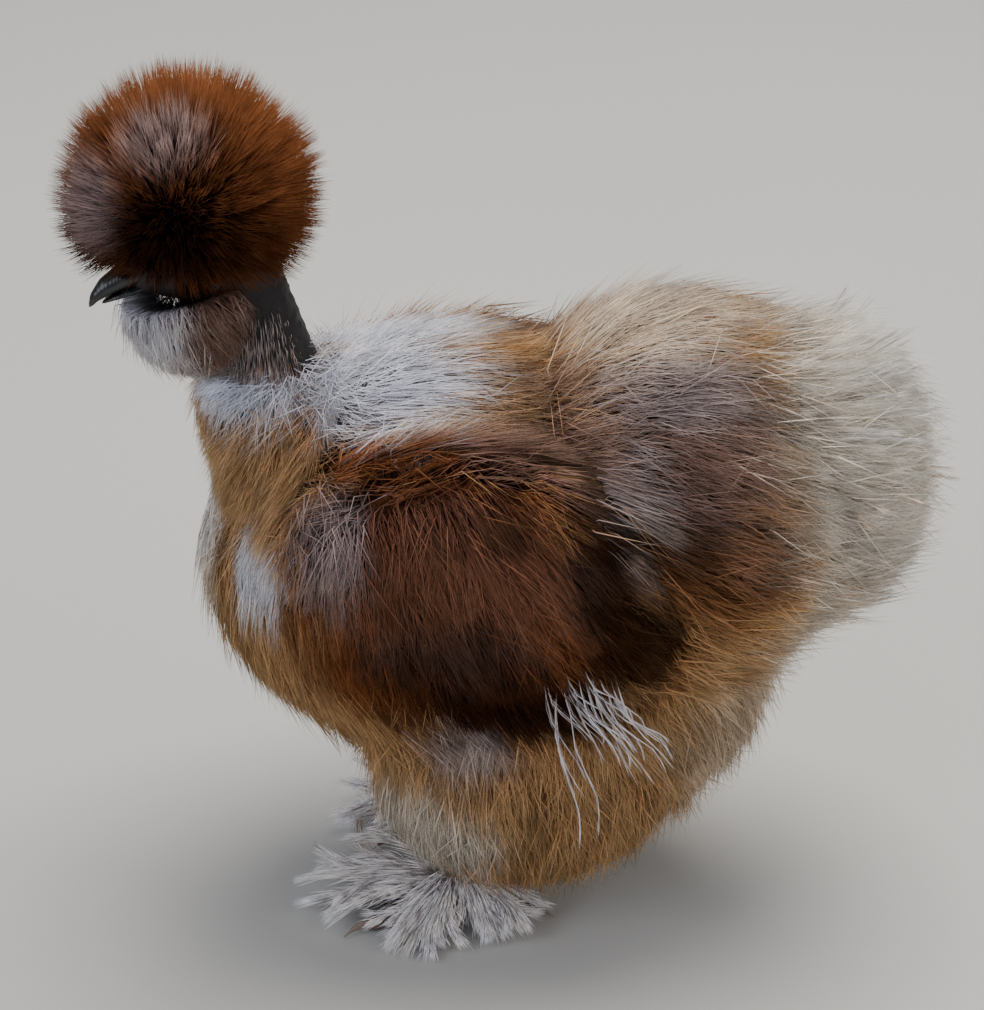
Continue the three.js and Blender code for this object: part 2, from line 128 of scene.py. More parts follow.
def outside(form, points):
    """How far points lie outside one oval's core."""
    c, s = math.cos(form["tilt"]), math.sin(form["tilt"])
    q = points - form["at"]
    q = np.stack([q[:, 0] * c - q[:, 2] * s, q[:, 1], q[:, 0] * s + q[:, 2] * c], 1)
    half = form["half"] - form["depth"]
    q = q / half
    k = np.linalg.norm(q, axis=1)
    return k * (k - 1) / np.maximum(np.linalg.norm(q / half, axis=1), 1e-6)


def distance(forms, points):
    """How far points lie outside the joined cores."""
    total = outside(forms[0], points)
    for form in forms[1:]:
        other = outside(form, points)
        h = np.maximum(BLEND - np.abs(total - other), 0) / BLEND
        total = np.minimum(total, other) - h * h * BLEND / 4
    return total


def normals(forms, points):
    steps = np.eye(3) * PROBE
    return unit(np.stack([distance(forms, points + s) - distance(forms, points - s) for s in steps], 1))


def settle(forms, points, height, rounds=3):
    """Moves points along the normal until they lie at height over the joined cores."""
    for _ in range(rounds):
        gap = (height - distance(forms, points))[:, None]
        points = points + normals(forms, points) * gap
    return points


# Markings, the same on skin and coat: soft patches of each colour over the gold, mirrored to her right
# side. Two dark patches low on the wing also hold painted shadow. Each has its centre, its radii and its
# strength. Later tones lie over earlier ones. A patch fades in between the two FADE shares of its radii,
# and its edge wanders by WANDER of them over WANDER_SIZE.
FADE = (1.3, 0.75)
WANDER, WANDER_SIZE = 0.16, 38
TONES = ["rust", "dark", "mauve", "pale", "cream"]
MARKS = {
    "rust": [((-14, -80, 150), (66, 45, 52), 1.0), ((-30, -72, 184), (52, 24, 18), 0.85),
             ((76, -66, 164), (28, 30, 22), 0.65), ((-26, -56, 200), (48, 14, 10), 0.95)],
    # The first and sixth dark patches, low on the wing where it meets the thigh, are partly the wing's dark
    # brown and partly painted shadow under the wing's hem.
    "dark": [((6, -84, 114), (44, 26, 17), 0.95), ((-16, -84, 137), (32, 24, 12), 0.85),
             ((36, -78, 166), (12, 24, 26), 0.95), ((48, -76, 138), (20, 24, 17), 0.9),
             ((62, -70, 180), (17, 18, 18), 0.8), ((26, -78, 108), (15, 20, 10), 0.85),
             ((-20, -76, 186), (34, 18, 8), 0.4)],
    "mauve": [((68, -62, 210), (44, 40, 28), 0.9), ((44, -60, 200), (14, 24, 20), 0.6),
              ((14, -54, 206), (26, 20, 16), 0.7), ((20, -32, 220), (20, 22, 17), 0.6),
              ((-58, -70, 170), (17, 24, 23), 0.6), ((-14, -80, 162), (46, 30, 30), 0.3),
              ((-62, -26, 204), (14, 18, 16), 0.5), ((-12, -75, 92), (18, 20, 14), 0.45),
              ((94, -54, 176), (22, 32, 24), 0.4)],
    "pale": [((-40, -22, 220), (37, 30, 21), 1.0), ((-82, -45, 149), (12, 18, 15), 1.0),
             ((-108, -12, 146), (9, 16, 14), 0.9), ((50, -66, 190), (8, 24, 30), 0.24),
             ((66, -42, 222), (32, 20, 14), 0.25), ((-58, -70, 172), (14, 22, 18), 0.22),
             ((-12, -75, 92), (14, 20, 12), 0.3), ((-88, -12, 213), (26, 32, 17), 1.0)],
    "cream": [((132, 0, 186), (38, 70, 74), 1.0), ((118, -14, 108), (26, 60, 40), 0.7),
              ((84, 0, 78), (30, 70, 38), 0.45), ((50, 0, 240), (60, 40, 20), 0.6),
              ((-109, 0, 148), (12, 44, 38), 0.6), ((-24, -58, 50), (25, 30, 19), 0.85)],
}


def wobble(points, size):
    """A slow wander between -1 and 1 that repeats over about size millimetres."""
    p = points / size * 2 * math.pi
    return (np.sin(p[:, 0] + 1.7 * np.sin(p[:, 2])) + np.sin(p[:, 1] * 1.3 + 2.1 * np.sin(p[:, 0] * 0.7))
            + np.sin(p[:, 2] * 1.1 + 1.3 * np.sin(p[:, 1]))) / 3


def on_left(points):
    """Points mirrored over to her left side."""
    return np.stack([points[:, 0], -np.abs(points[:, 1]), points[:, 2]], 1)


def markings(points, scatter=0.0):
    """Each tone's share at each point, with wandering edges."""
    folded = on_left(points)
    out = {}
    for tone, patches in MARKS.items():
        best = np.zeros(len(points))
        for at, radii, strength in patches:
            k = np.linalg.norm((folded - vec(*at)) / vec(*radii), axis=1)
            k = k + WANDER * wobble(points, WANDER_SIZE) + scatter
            best = np.maximum(best, strength * smooth(*FADE, k))
        out[tone] = best
    return out


# Materials

def linear(code):
    """An sRGB hex colour as linear RGBA."""
    channels = [int(code[i:i + 2], 16) / 255 for i in (1, 3, 5)]
    return [c / 12.92 if c <= 0.04045 else ((c + 0.055) / 1.055) ** 2.4 for c in channels] + [1.0]


def plug(tree, made, links=None, values=None):
    """Sets a node's sockets: links are its sources and values its numbers and colours."""
    for key, value in (values or {}).items():
        made.inputs[key].default_value = value
    for key, source in (links or {}).items():
        tree.links.new(source, made.inputs[key])
    return made


def node(tree, kind, settings=None, links=None, values=None):
    """Adds a node with its own settings, its links and its values."""
    made = tree.nodes.new("ShaderNode" + kind)
    for key, value in (settings or {}).items():
        setattr(made, key, value)
    return plug(tree, made, links, values)


def material(name):
    """A new material, its nodes, its shader and the coordinates of the piece."""
    made = bpy.data.materials.new(name)
    made.use_nodes = True
    tree = made.node_tree
    return made, tree, tree.nodes["Principled BSDF"], node(tree, "TexCoord").outputs["Object"]


# Sockets by number: a map range takes LOW..HIGH to TO_LOW..TO_HIGH, and a colour mix goes from A to B.
LOW, HIGH, TO_LOW, TO_HIGH = 1, 2, 3, 4
A, B, MIXED = 6, 7, 2
COLOURS = {"data_type": "RGBA"}


def grain(millimetres, detail=3.0, rough=0.6):
    """Noise values for features of about that size on Object coordinates."""
    return {"Scale": 1000 / millimetres, "Detail": detail, "Roughness": rough}


# Colours of the down: at the root, half way and at the tip.
DOWN = {
    "gold": ("#5f3e26", "#b07f50", "#dcb88c"),
    "rust": ("#261209", "#744127", "#a1653f"),
    "dark": ("#0a0504", "#22120b", "#3c2316"),
    "mauve": ("#36251f", "#765953", "#a58c86"),
    # The pale down's blue tint is painted: the cool cast of shade under an open sky on white down.
    "pale": ("#aaaab8", "#d5d8e6", "#f4f6ff"),
    "cream": ("#a88f75", "#e2d5c3", "#fbf7f0"),
}
MIDDLE_AT, TIP_FROM = 0.55, 0.45    # where the middle's colour is reached, and where the tip's begins
# The least light on a barb and what chance adds to it: for each barb, and for its whole lock.
BARB_LIGHT, LOCK_LIGHT = (0.64, 0.66), (0.68, 0.58)
PALE_LIGHT, PALE_EVEN = 1.12, 0.6   # pale down is lighter, and more even


def no_tones(count):
    """Plain gold down, as shares of the other tones."""
    return {key: np.zeros(count) for key in TONES}


def down_colours(values, along):
    """The colour of each barb at each share of its length. Root, middle and tip differ, and so do locks."""
    along = np.atleast_1d(along)[None, :, None]
    to_middle = np.clip(along / MIDDLE_AT, 0, 1)
    to_tip = np.clip((along - TIP_FROM) / (1 - TIP_FROM), 0, 1)

    def tone(key):
        root, middle, tip = (vec(*linear(code)) for code in DOWN[key])
        lower = root + (middle - root) * to_middle
        return lower + (tip - lower) * to_tip

    colour = tone("gold")
    for key in TONES:
        colour = colour + (tone(key) - colour) * values[key][:, None, None]
    bright = BARB_LIGHT[0] + BARB_LIGHT[1] * values["chance"]
    bright = bright * (LOCK_LIGHT[0] + LOCK_LIGHT[1] * values["lock"])
    bright = bright + (PALE_LIGHT - bright) * PALE_EVEN * values["pale"]
    return np.concatenate([colour[..., :3] * bright[:, None, None], np.ones(colour.shape[:2] + (1,))], 2)


def down(name, roughness=0.62, gleam=0.0):
    """Silkie down: barbs with no hooks, matt and soft, with a mottle of 9 mm. Strings gleam a little."""
    made, tree, shader, place = material(name)
    colour = node(tree, "Attribute", {"attribute_name": "down_colour"}).outputs["Color"]
    clumps = node(tree, "TexNoise", links={"Vector": place}, values=grain(9.0, 1.0)).outputs["Fac"]
    mottle = node(tree, "MapRange", links={0: clumps},
                  values={LOW: 0.3, HIGH: 0.7, TO_LOW: 0.84, TO_HIGH: 1.16}).outputs[0]
    mottled = node(tree, "HueSaturation", links={"Color": colour, "Value": mottle}).outputs[0]
    rough = node(tree, "MapRange", links={0: mottle}, values={
        LOW: 0.84, HIGH: 1.16, TO_LOW: roughness + 0.08, TO_HIGH: roughness - 0.08}).outputs[0]
    plug(tree, shader, {"Base Color": mottled, "Roughness": rough}, {"Specular IOR Level": gleam})
    return made


def bare_skin(name, base, pale, fold_mm, roughness=0.58, coat=0.0):
    """Bare fowl skin: thick, dark and finely wrinkled, with a dull waxy gleam."""
    made, tree, shader, place = material(name)
    patches = node(tree, "TexNoise", links={"Vector": place}, values=grain(7.0, 4.0)).outputs["Fac"]
    share = node(tree, "MapRange", links={0: patches}, values={LOW: 0.42, HIGH: 0.7}).outputs[0]
    colour = node(tree, "Mix", COLOURS, {0: share}, {A: linear(base), B: linear(pale)}).outputs[MIXED]
    rough = node(tree, "MapRange", links={0: patches}, values={
        LOW: 0.3, HIGH: 0.7, TO_LOW: roughness - 0.12, TO_HIGH: roughness + 0.12}).outputs[0]
    wrinkles = node(tree, "TexNoise", links={"Vector": place}, values=grain(fold_mm, 5.0, 0.65))
    bump = node(tree, "Bump", links={"Height": wrinkles.outputs["Fac"]},
                values={"Strength": 0.55, "Distance": 0.0006})
    plug(tree, shader, {"Base Color": colour, "Roughness": rough, "Normal": bump.outputs[0]},
         {"Specular IOR Level": 0.4, "Coat Weight": coat, "Coat Roughness": 0.3})
    return made


def horn(name, base, rim):
    """Keratin of the bill and claws: dense and smooth, with growth lines 1.2 mm apart and a clear gleam."""
    made, tree, shader, place = material(name)
    lines = node(tree, "TexWave", {"bands_direction": "X"}, {"Vector": place},
                 {"Scale": 260.0, "Distortion": 3.0, "Detail": 3.0}).outputs["Fac"]
    clouds = node(tree, "TexNoise", links={"Vector": place}, values=grain(5.0)).outputs["Fac"]
    worn = node(tree, "MapRange", links={0: clouds}, values={LOW: 0.45, HIGH: 0.8, TO_HIGH: 0.6}).outputs[0]
    colour = node(tree, "Mix", COLOURS, {0: worn}, {A: linear(base), B: linear(rim)}).outputs[MIXED]
    rough = node(tree, "MapRange", links={0: lines}, values={TO_LOW: 0.26, TO_HIGH: 0.4}).outputs[0]
    bump = node(tree, "Bump", links={"Height": lines}, values={"Strength": 0.15, "Distance": 0.0002})
    plug(tree, shader, {"Base Color": colour, "Roughness": rough, "Normal": bump.outputs[0]},
         {"Specular IOR Level": 0.5, "Coat Weight": 0.2, "Coat Roughness": 0.2})
    return made


def scutes(name, base, edge):
    """Leg scales: flat horny plates about 3 mm long with paler edges, dry and slightly glossy."""
    made, tree, shader, place = material(name)
    cells = node(tree, "TexVoronoi", {"feature": "DISTANCE_TO_EDGE"}, {"Vector": place},
                 {"Scale": 1000 / 3.0}).outputs["Distance"]
    plates = node(tree, "MapRange", links={0: cells}, values={HIGH: 0.12}).outputs[0]
    plated = node(tree, "Mix", COLOURS, {0: plates}, {A: linear(edge), B: linear(base)}).outputs[MIXED]
    clouds = node(tree, "TexNoise", links={"Vector": place}, values=grain(6.0)).outputs["Fac"]
    worn = node(tree, "MapRange", links={0: clouds}, values={LOW: 0.4, HIGH: 0.8, TO_HIGH: 0.7}).outputs[0]
    colour = node(tree, "Mix", COLOURS, {0: worn, A: plated}, {B: linear(edge)}).outputs[MIXED]
    rough = node(tree, "MapRange", links={0: plates}, values={TO_LOW: 0.7, TO_HIGH: 0.45}).outputs[0]
    bump = node(tree, "Bump", links={"Height": plates}, values={"Strength": 0.5, "Distance": 0.0004})
    plug(tree, shader, {"Base Color": colour, "Roughness": rough, "Normal": bump.outputs[0]})
    return made


def eye_glass():
    """The eye: a wet cornea over a black pupil and a dark brown iris, mirror smooth."""
    made, tree, shader, place = material("wet_cornea_over_brown_iris")
    ring = node(tree, "Attribute", {"attribute_name": "ring"}).outputs["Fac"]
    clouds = node(tree, "TexNoise", links={"Vector": place}, values=grain(0.5)).outputs["Fac"]
    iris, rim, flecks = "#3a1d0c", "#0b0606", "#6b3a18"
    under = {}
    for source, low, high, most, code in ((ring, 0.33, 0.4, 1.0, iris), (ring, 0.7, 0.85, 1.0, rim),
                                          (clouds, 0.55, 0.8, 0.25, flecks)):
        share = node(tree, "MapRange", links={0: source}, values={LOW: low, HIGH: high, TO_HIGH: most})
        colour = node(tree, "Mix", COLOURS, {0: share.outputs[0]} | under,
                      {A: linear("#050303"), B: linear(code)}).outputs[MIXED]
        under = {A: colour}
    plug(tree, shader, {"Base Color": colour},
         {"Roughness": 0.08, "Coat Weight": 1.0, "Coat Roughness": 0.03, "IOR": 1.38})
    return made


DOWN_COAT = down("loose_silkie_down")
STRING_COAT = down("stringy_silkie_vanes", roughness=0.5, gleam=0.25)
NECK_SKIN = bare_skin("bare_slate_neck_skin", "#0e0c0d", "#292526", 1.6)
FACE_SKIN = bare_skin("mulberry_face_skin", "#120e12", "#2c2228", 1.1)
COMB_SKIN = bare_skin("walnut_comb_skin", "#150d12", "#33202a", 0.9, 0.5, 0.1)
LOBE_SKIN = bare_skin("turquoise_earlobe_skin", "#2c5660", "#5d96a0", 0.8, 0.45, 0.1)
BILL_HORN = horn("slate_bill_horn", "#0c0d10", "#30363b")
CLAW_HORN = horn("pale_claw_horn", "#8a766d", "#c7b2a4")
LEG_SCALES = scutes("mulberry_leg_scutes", "#4e3732", "#a3897b")
EYE_WET = eye_glass()


# Meshes

def finish_piece(name, mesh, look):
    mesh.polygons.foreach_set("use_smooth", np.ones(len(mesh.polygons), bool))
    mesh.materials.clear()
    mesh.materials.append(look)
    piece = bpy.data.objects.new(name, mesh)
    bpy.context.scene.collection.objects.link(piece)
    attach(piece, "root")
    return piece


def mesh_of(bm, name):
    bmesh.ops.recalc_face_normals(bm, faces=bm.faces)
    mesh = bpy.data.meshes.new(name)
    bm.to_mesh(mesh)
    bm.free()
    return mesh


def points_of(mesh):
    out = np.zeros(len(mesh.vertices) * 3)
    mesh.vertices.foreach_get("co", out)
    return out.reshape(-1, 3)


def put(mesh, head=False):
    """Moves a mesh made in millimetres to its place in the row's frame."""
    points = points_of(mesh)
    points = to_row(from_head(points) if head else points)
    mesh.vertices.foreach_set("co", points.ravel())
    mesh.update()
    return mesh


def add_oval(bm, form, grow=0.0, segments=32, rings=20):
    """Adds an oval's core, grown on all sides."""
    half = form["half"] - form["depth"] + grow
    place = Matrix.Translation(Vector(form["at"])) @ Matrix.Rotation(form["tilt"], 4, "Y")
    place = place @ Matrix.Diagonal(Vector((*half, 1)))
    bmesh.ops.create_uvsphere(bm, u_segments=segments, v_segments=rings, radius=1, matrix=place)


def add_tube(bm, points, widths, heights=None, up=(0, 0, 1), segments=24):
    """Adds a closed tube through points, from a circle that is extruded and fitted at each step."""
    points = np.asarray(points, float)
    heights = widths if heights is None else heights
    along = unit(np.gradient(points, axis=0))
    side = unit(np.cross(vec(*up), along))
    high = np.cross(along, side)
    ring = bmesh.ops.create_circle(bm, cap_ends=False, segments=segments, radius=1)["verts"]
    flat = [v.co.copy() for v in ring]
    first = list(ring)
    for i in range(len(points)):
        if i:
            edges = [e for e in {e for v in ring for e in v.link_edges} if all(v in ring for v in e.verts)]
            grown = bmesh.ops.extrude_edge_only(bm, edges=edges)["geom"]
            new = [g for g in grown if isinstance(g, bmesh.types.BMVert)]
            order = {v: next(e.other_vert(v) for e in v.link_edges if e.other_vert(v) in ring) for v in new}
            ring = sorted(new, key=lambda v: ring.index(order[v]))
        for vert, spot in zip(ring, flat):
            vert.co = Vector(points[i] + side[i] * spot.x * widths[i] + high[i] * spot.y * heights[i])
    for end in (first, ring):
        bmesh.ops.contextual_create(bm, geom=end)


def curve(points, count):
    """Points spread along a smooth line through the given ones."""
    points = np.asarray(points, float)
    padded = np.vstack([2 * points[0] - points[1], points, 2 * points[-1] - points[-2]])
    out = []
    for t in np.linspace(0, len(points) - 1, count):
        i = min(int(t), len(points) - 2)
        u = t - i
        a, b, c, d = padded[i:i + 4]
        out.append(0.5 * (2 * b + (c - a) * u + (2 * a - 5 * b + 4 * c - d) * u ** 2
                          + (3 * b - a - 3 * c + d) * u ** 3))
    return np.array(out)


def remeshed(bm, name, voxel, rounds):
    """Joins overlapping forms to one smooth skin."""
    mesh = mesh_of(bm, name)
    holder = bpy.data.objects.new(name, mesh)
    bpy.context.scene.collection.objects.link(holder)
    remesh = holder.modifiers.new("join", "REMESH")
    remesh.mode = "VOXEL"
    remesh.voxel_size = voxel
    soften = holder.modifiers.new("soften", "SMOOTH")
    soften.factor = 0.5
    soften.iterations = rounds
    graph = bpy.context.evaluated_depsgraph_get()
    made = bpy.data.meshes.new_from_object(holder.evaluated_get(graph))
    bpy.data.objects.remove(holder)
    made.name = name
    return made


def paint(mesh, colours):
    """Gives the mesh its colours, point by point, for the down's materials."""
    made = mesh.attributes.new("down_colour", "FLOAT_COLOR", "POINT")
    made.data.foreach_set("color", np.ascontiguousarray(colours, np.float32).ravel())


# Body skin, under the coat and marked as the coat is.
bm = bmesh.new()
for form in BODY + [NECK_BOW]:
    add_oval(bm, form, -SKIN_UNDER, 48, 30)
skin = remeshed(bm, "body_skin", 3.0, 6)
spots = points_of(skin)
dim = {key: np.full(len(spots), 0.4) for key in ("chance", "lock")}
paint(skin, down_colours(markings(spots) | dim, 0.25))
body_skin = finish_piece("body_skin", put(skin), DOWN_COAT)
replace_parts(body_skin, "torso", "saddle", "abdomen", "breast", "tail", "wing_left", "wing_right",
            "thigh_left", "thigh_right", "neck_bow")

# Head skin with its cheeks and brow, and on each side the eye, its two lids and the earlobe.
bm = bmesh.new()
for form in (SKULL, FACE, CHEEKS):
    add_oval(bm, form, -0.6)
add_oval(bm, BROW)
head = finish_piece("head_skin", put(remeshed(bm, "head_skin", 0.8, 8), head=True), FACE_SKIN)
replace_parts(head, "head")

LID_STEPS, LID_END = 26, math.radians(12)    # a lid's ends pass the corner of the eye by this angle

for side, sign in (("left", -1), ("right", 1)):
    flip = vec(1, -sign, 1)
    eye_at = EYE_AT * flip
    outward = unit(vec(-0.25, sign, 0.05))
    ball = EYE_RADIUS - 0.1
    turn = Vector(outward).to_track_quat("Z", "Y").to_matrix().to_4x4()
    bm = bmesh.new()
    bmesh.ops.create_uvsphere(bm, u_segments=40, v_segments=28, radius=ball)
    mesh = mesh_of(bm, "eye_" + side + "_wet")
    spots = points_of(mesh)
    ring = np.arccos(np.clip(spots[:, 2] / ball, -1, 1))
    mesh.attributes.new("ring", "FLOAT", "POINT").data.foreach_set("value", ring.astype(np.float32))
    bulge = 1 + 0.07 * smooth(3.4, 4.3, spots[:, 2])
    mesh.vertices.foreach_set("co", (spots * bulge[:, None]).ravel())
    mesh.transform(Matrix.Translation(Vector(eye_at)) @ turn)
    piece = finish_piece("eye_" + side + "_wet", put(mesh, head=True), EYE_WET)
    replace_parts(piece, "eye_" + side)
    for lid, tilt, thick in (("upper", 1, 1.5), ("lower", -1, 1.15)):
        angles = np.linspace(-LID_END, math.pi + LID_END, LID_STEPS)
        reach = EYE_RADIUS - 0.25
        flat = np.stack([np.cos(angles) * reach * 1.05, np.sin(angles) * reach * 0.72 * tilt,
                         1.9 + 0.9 * np.sin(angles)], 1)
        facing = unit(np.cross(vec(0, 0, 1), outward))
        lid_up = np.cross(outward, facing)
        path = eye_at + flat[:, :1] * facing + flat[:, 1:2] * lid_up + flat[:, 2:] * outward
        taper = thick * (0.35 + 0.65 * np.sin(np.linspace(0, math.pi, LID_STEPS)))
        bm = bmesh.new()
        add_tube(bm, path, taper, taper * 0.8, up=tuple(outward), segments=12)
        finish_piece(f"lid_{lid}_{side}", put(mesh_of(bm, "lid"), head=True), FACE_SKIN)
    bm = bmesh.new()
    add_oval(bm, oval((3, 12.4 * sign, -7), (4.3, 2.0, 5.8)), 0, 32, 24)
    lobe = put(mesh_of(bm, "lobe"), head=True)
    piece = finish_piece("earlobe_" + side + "_skin", lobe, LOBE_SKIN)
    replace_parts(piece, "earlobe_" + side)

# Bill: the upper half with its ridge and hooked tip over the lower half, nostrils sunk near the root.
BEAK_ROOT, BEAK_LENGTH, BEAK_DROP = vec(-18, 0, -2.5), 21, 7.0
BEAK_ACROSS, BEAK_TALL = 6.2, 4.6   # half sizes at the root
NOSTRIL_AT = vec(-24.5, 4.6, 0.2)
t = np.linspace(0, 1, 30)
profile = np.interp(t, [0, 0.35, 0.65, 0.88, 1], [0, 0.03, 0.28, 0.66, 1.06])
line = BEAK_ROOT + np.stack([-t * BEAK_LENGTH, t * 0, -profile * BEAK_DROP], 1)
bm = bmesh.new()
across = BEAK_ACROSS * np.interp(t, [0, 0.35, 0.65, 0.88, 0.97, 1], [1, 0.88, 0.6, 0.32, 0.14, 0.05])
tall = BEAK_TALL * np.interp(t, [0, 0.35, 0.65, 0.88, 0.97, 1], [1, 0.9, 0.66, 0.4, 0.18, 0.06])
add_tube(bm, line, across, tall, segments=36)
mesh = mesh_of(bm, "bill_upper")
spots = points_of(mesh)
middle = np.interp(-spots[:, 0], -line[:, 0], line[:, 2])
ridge = 0.7 * np.exp(-(spots[:, 1] / 1.6) ** 2) * (spots[:, 2] > middle)
spots[:, 2] += ridge * smooth(1, 0.7, (BEAK_ROOT[0] - spots[:, 0]) / BEAK_LENGTH)
for sign in (-1, 1):
    k = np.linalg.norm((spots - NOSTRIL_AT * vec(1, sign, 1)) / vec(2.4, 2.2, 1.1), axis=1)
    spots[:, 1] -= sign * 1.5 * smooth(1.2, 0.5, k)
mesh.vertices.foreach_set("co", spots.ravel())
piece = finish_piece("bill_upper", put(mesh, head=True), BILL_HORN)
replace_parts(piece, "beak_upper")
bm = bmesh.new()
t = np.linspace(0, 1, 20)
profile = np.interp(t, [0, 0.4, 0.72, 1], [0.72, 0.78, 0.9, 1.08])
line = BEAK_ROOT + np.stack([-t * BEAK_LENGTH * 0.78, t * 0, -profile * BEAK_DROP], 1)
across = BEAK_ACROSS * np.interp(t, [0, 0.4, 0.72, 0.95, 1], [0.85, 0.76, 0.5, 0.16, 0.05])
tall = BEAK_TALL * np.interp(t, [0, 0.4, 0.72, 0.95, 1], [0.5, 0.42, 0.28, 0.12, 0.05])
add_tube(bm, line, across, tall, segments=28)
piece = finish_piece("bill_lower", put(mesh_of(bm, "bill_lower"), head=True), BILL_HORN)
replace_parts(piece, "beak_lower")

# Walnut comb: small lumps grown together over the bill's root.
COMB = oval((-17, 0, 9.5), (5.5, 6.5, 2.2))
bm = bmesh.new()
for _ in range(26):
    spot = COMB["at"] + pick(-1, 1, 3) * COMB["half"]
    add_oval(bm, oval(spot, (2.4, 2.4, 2.2)), pick(-0.5, 0.7), 12, 8)
comb = remeshed(bm, "walnut_comb", 0.5, 2)
piece = finish_piece("walnut_comb", put(comb, head=True), COMB_SKIN)
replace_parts(piece, "comb")

# Bare neck: a tapering column with fine rings of folded skin.
NECK_FROM, NECK_BEND, NECK_TO = vec(-92, -2, 252), vec(-82, 0, 222), vec(-68, 0, 165)
NECK_RADIUS, NECK_WIDENS, NECK_RINGS = 13.8, 5.2, 17


def neck_at(t):
    """The neck's middle line from the head at 0 to the body at 1."""
    t = t[:, None]
    return (1 - t) ** 2 * NECK_FROM + 2 * t * (1 - t) * NECK_BEND + t ** 2 * NECK_TO


t = np.linspace(0, 1, 110)
neck_size = NECK_RADIUS + NECK_WIDENS * t * t + 0.1 * np.sin(t * 2 * math.pi * NECK_RINGS)
bm = bmesh.new()
add_tube(bm, neck_at(t), neck_size, up=(0, 1, 0), segments=72)
mesh = mesh_of(bm, "neck_skin")
spots = points_of(mesh)
folds = 0.3 * wobble(spots * vec(1, 1, 1.6), 9) + 0.25 * wobble(spots * vec(1.6, 1, 0.7), 5)
spots = spots + unit((spots - NECK_BEND) * vec(1, 1, 0)) * folds[:, None]
mesh.vertices.foreach_set("co", spots.ravel())
piece = finish_piece("neck_skin", put(mesh), NECK_SKIN)
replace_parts(piece, "neck")

# Legs, toes and claws. A toe has its direction (180 is forward), its share of the length and its rise.
TOES = [(180, 1, 0), (152, 0.84, 0), (208, 0.88, 0), (14, 0.62, 0), (-34, 0.6, 12)]
TOE_LENGTH, CLAW = 44, 10
FEET = {"left": (-16, -1), "right": (-6, 1)}
FOOT_OUT, ANKLE_UP = 29, 12     # how far out the feet stand, and how high the ankle is
GROUND = 0.05                   # soles stand this far over the floor's plane


def on_foot(foot, turn, far, z):
    """Places round a foot's centre, at a heading in degrees, a distance and a height."""
    x, sign = FEET[foot]
    a = np.radians(turn)
    place = np.broadcast_arrays(x + np.cos(a) * far, sign * (FOOT_OUT + np.sin(a) * far), z)
    return np.stack(place, -1).astype(float)


for side, (foot_x, sign) in FEET.items():
    ankle = vec(foot_x, FOOT_OUT * sign, ANKLE_UP)
    hock = ankle + vec(26, 0, 36)
    bm = bmesh.new()
    path = curve([hock + vec(-8, 0, 20), hock, (hock + ankle) / 2, ankle, ankle + vec(-1, 0, -6)], 30)
    size = np.interp(np.linspace(0, 1, 30), [0, 0.3, 0.5, 0.9, 1], [7, 6.6, 5.1, 5.3, 5.6])
    add_tube(bm, path, size, up=(0, 1, 0), segments=28)
    piece = finish_piece("shank_scales_" + side, put(mesh_of(bm, "shank")), LEG_SCALES)
    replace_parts(piece, "shank_" + side)
    bm = bmesh.new()
    add_oval(bm, oval(ankle * vec(1, 1, 0) + vec(0, 0, 5.2), (9, 8, 5.2)), 0, 28, 18)
    claws = bmesh.new()
    for turn, share, rise in TOES:
        length = TOE_LENGTH * share
        far = np.array([0, 0.3, 0.55, 0.8, 1.0]) * length
        high = np.array([4.2, 4.0, 3.7, 3.5, 3.2]) + rise * np.array([0, 0.15, 0.4, 0.75, 1])
        path = curve(on_foot(side, turn, far, high), 26)
        s = np.linspace(0, 1, 26)
        pads = 0.28 * np.sin(s * 2 * math.pi * 3.2)
        size = np.interp(s, [0, 0.9, 1], [4.0, 3.0, 2.0]) + pads
        add_tube(bm, path, size, size * 0.92, segments=20)
        far = length + np.array([-3, 2, 6, CLAW])
        high = np.array([3.4, 4.0, 3.2, 0.9]) + rise
        path = curve(on_foot(side, turn, far, high), 14)
        size = np.interp(np.linspace(0, 1, 14), [0, 0.4, 1], [1.9, 1.4, 0.15])
        add_tube(claws, path, size, size * 1.1, segments=14)
    mesh = mesh_of(bm, "foot")
    spots = points_of(mesh)
    spots[:, 2] = np.maximum(spots[:, 2], GROUND)
    mesh.vertices.foreach_set("co", spots.ravel())
    piece = finish_piece("foot_scales_" + side, put(mesh), LEG_SCALES)
    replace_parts(piece, "foot_" + side)
    finish_piece("claws_" + side, put(mesh_of(claws, "claws")), CLAW_HORN)


# Down: closed three-sided barbs, pointed at both ends. They are joined by the thousand in numpy, because
# operators would take minutes for a quarter of a million of them.
PATCH = 0.003       # a barb's own patch on the bake's image
UNWRAP = 0.98       # how much of that image the unwrapped oval fills


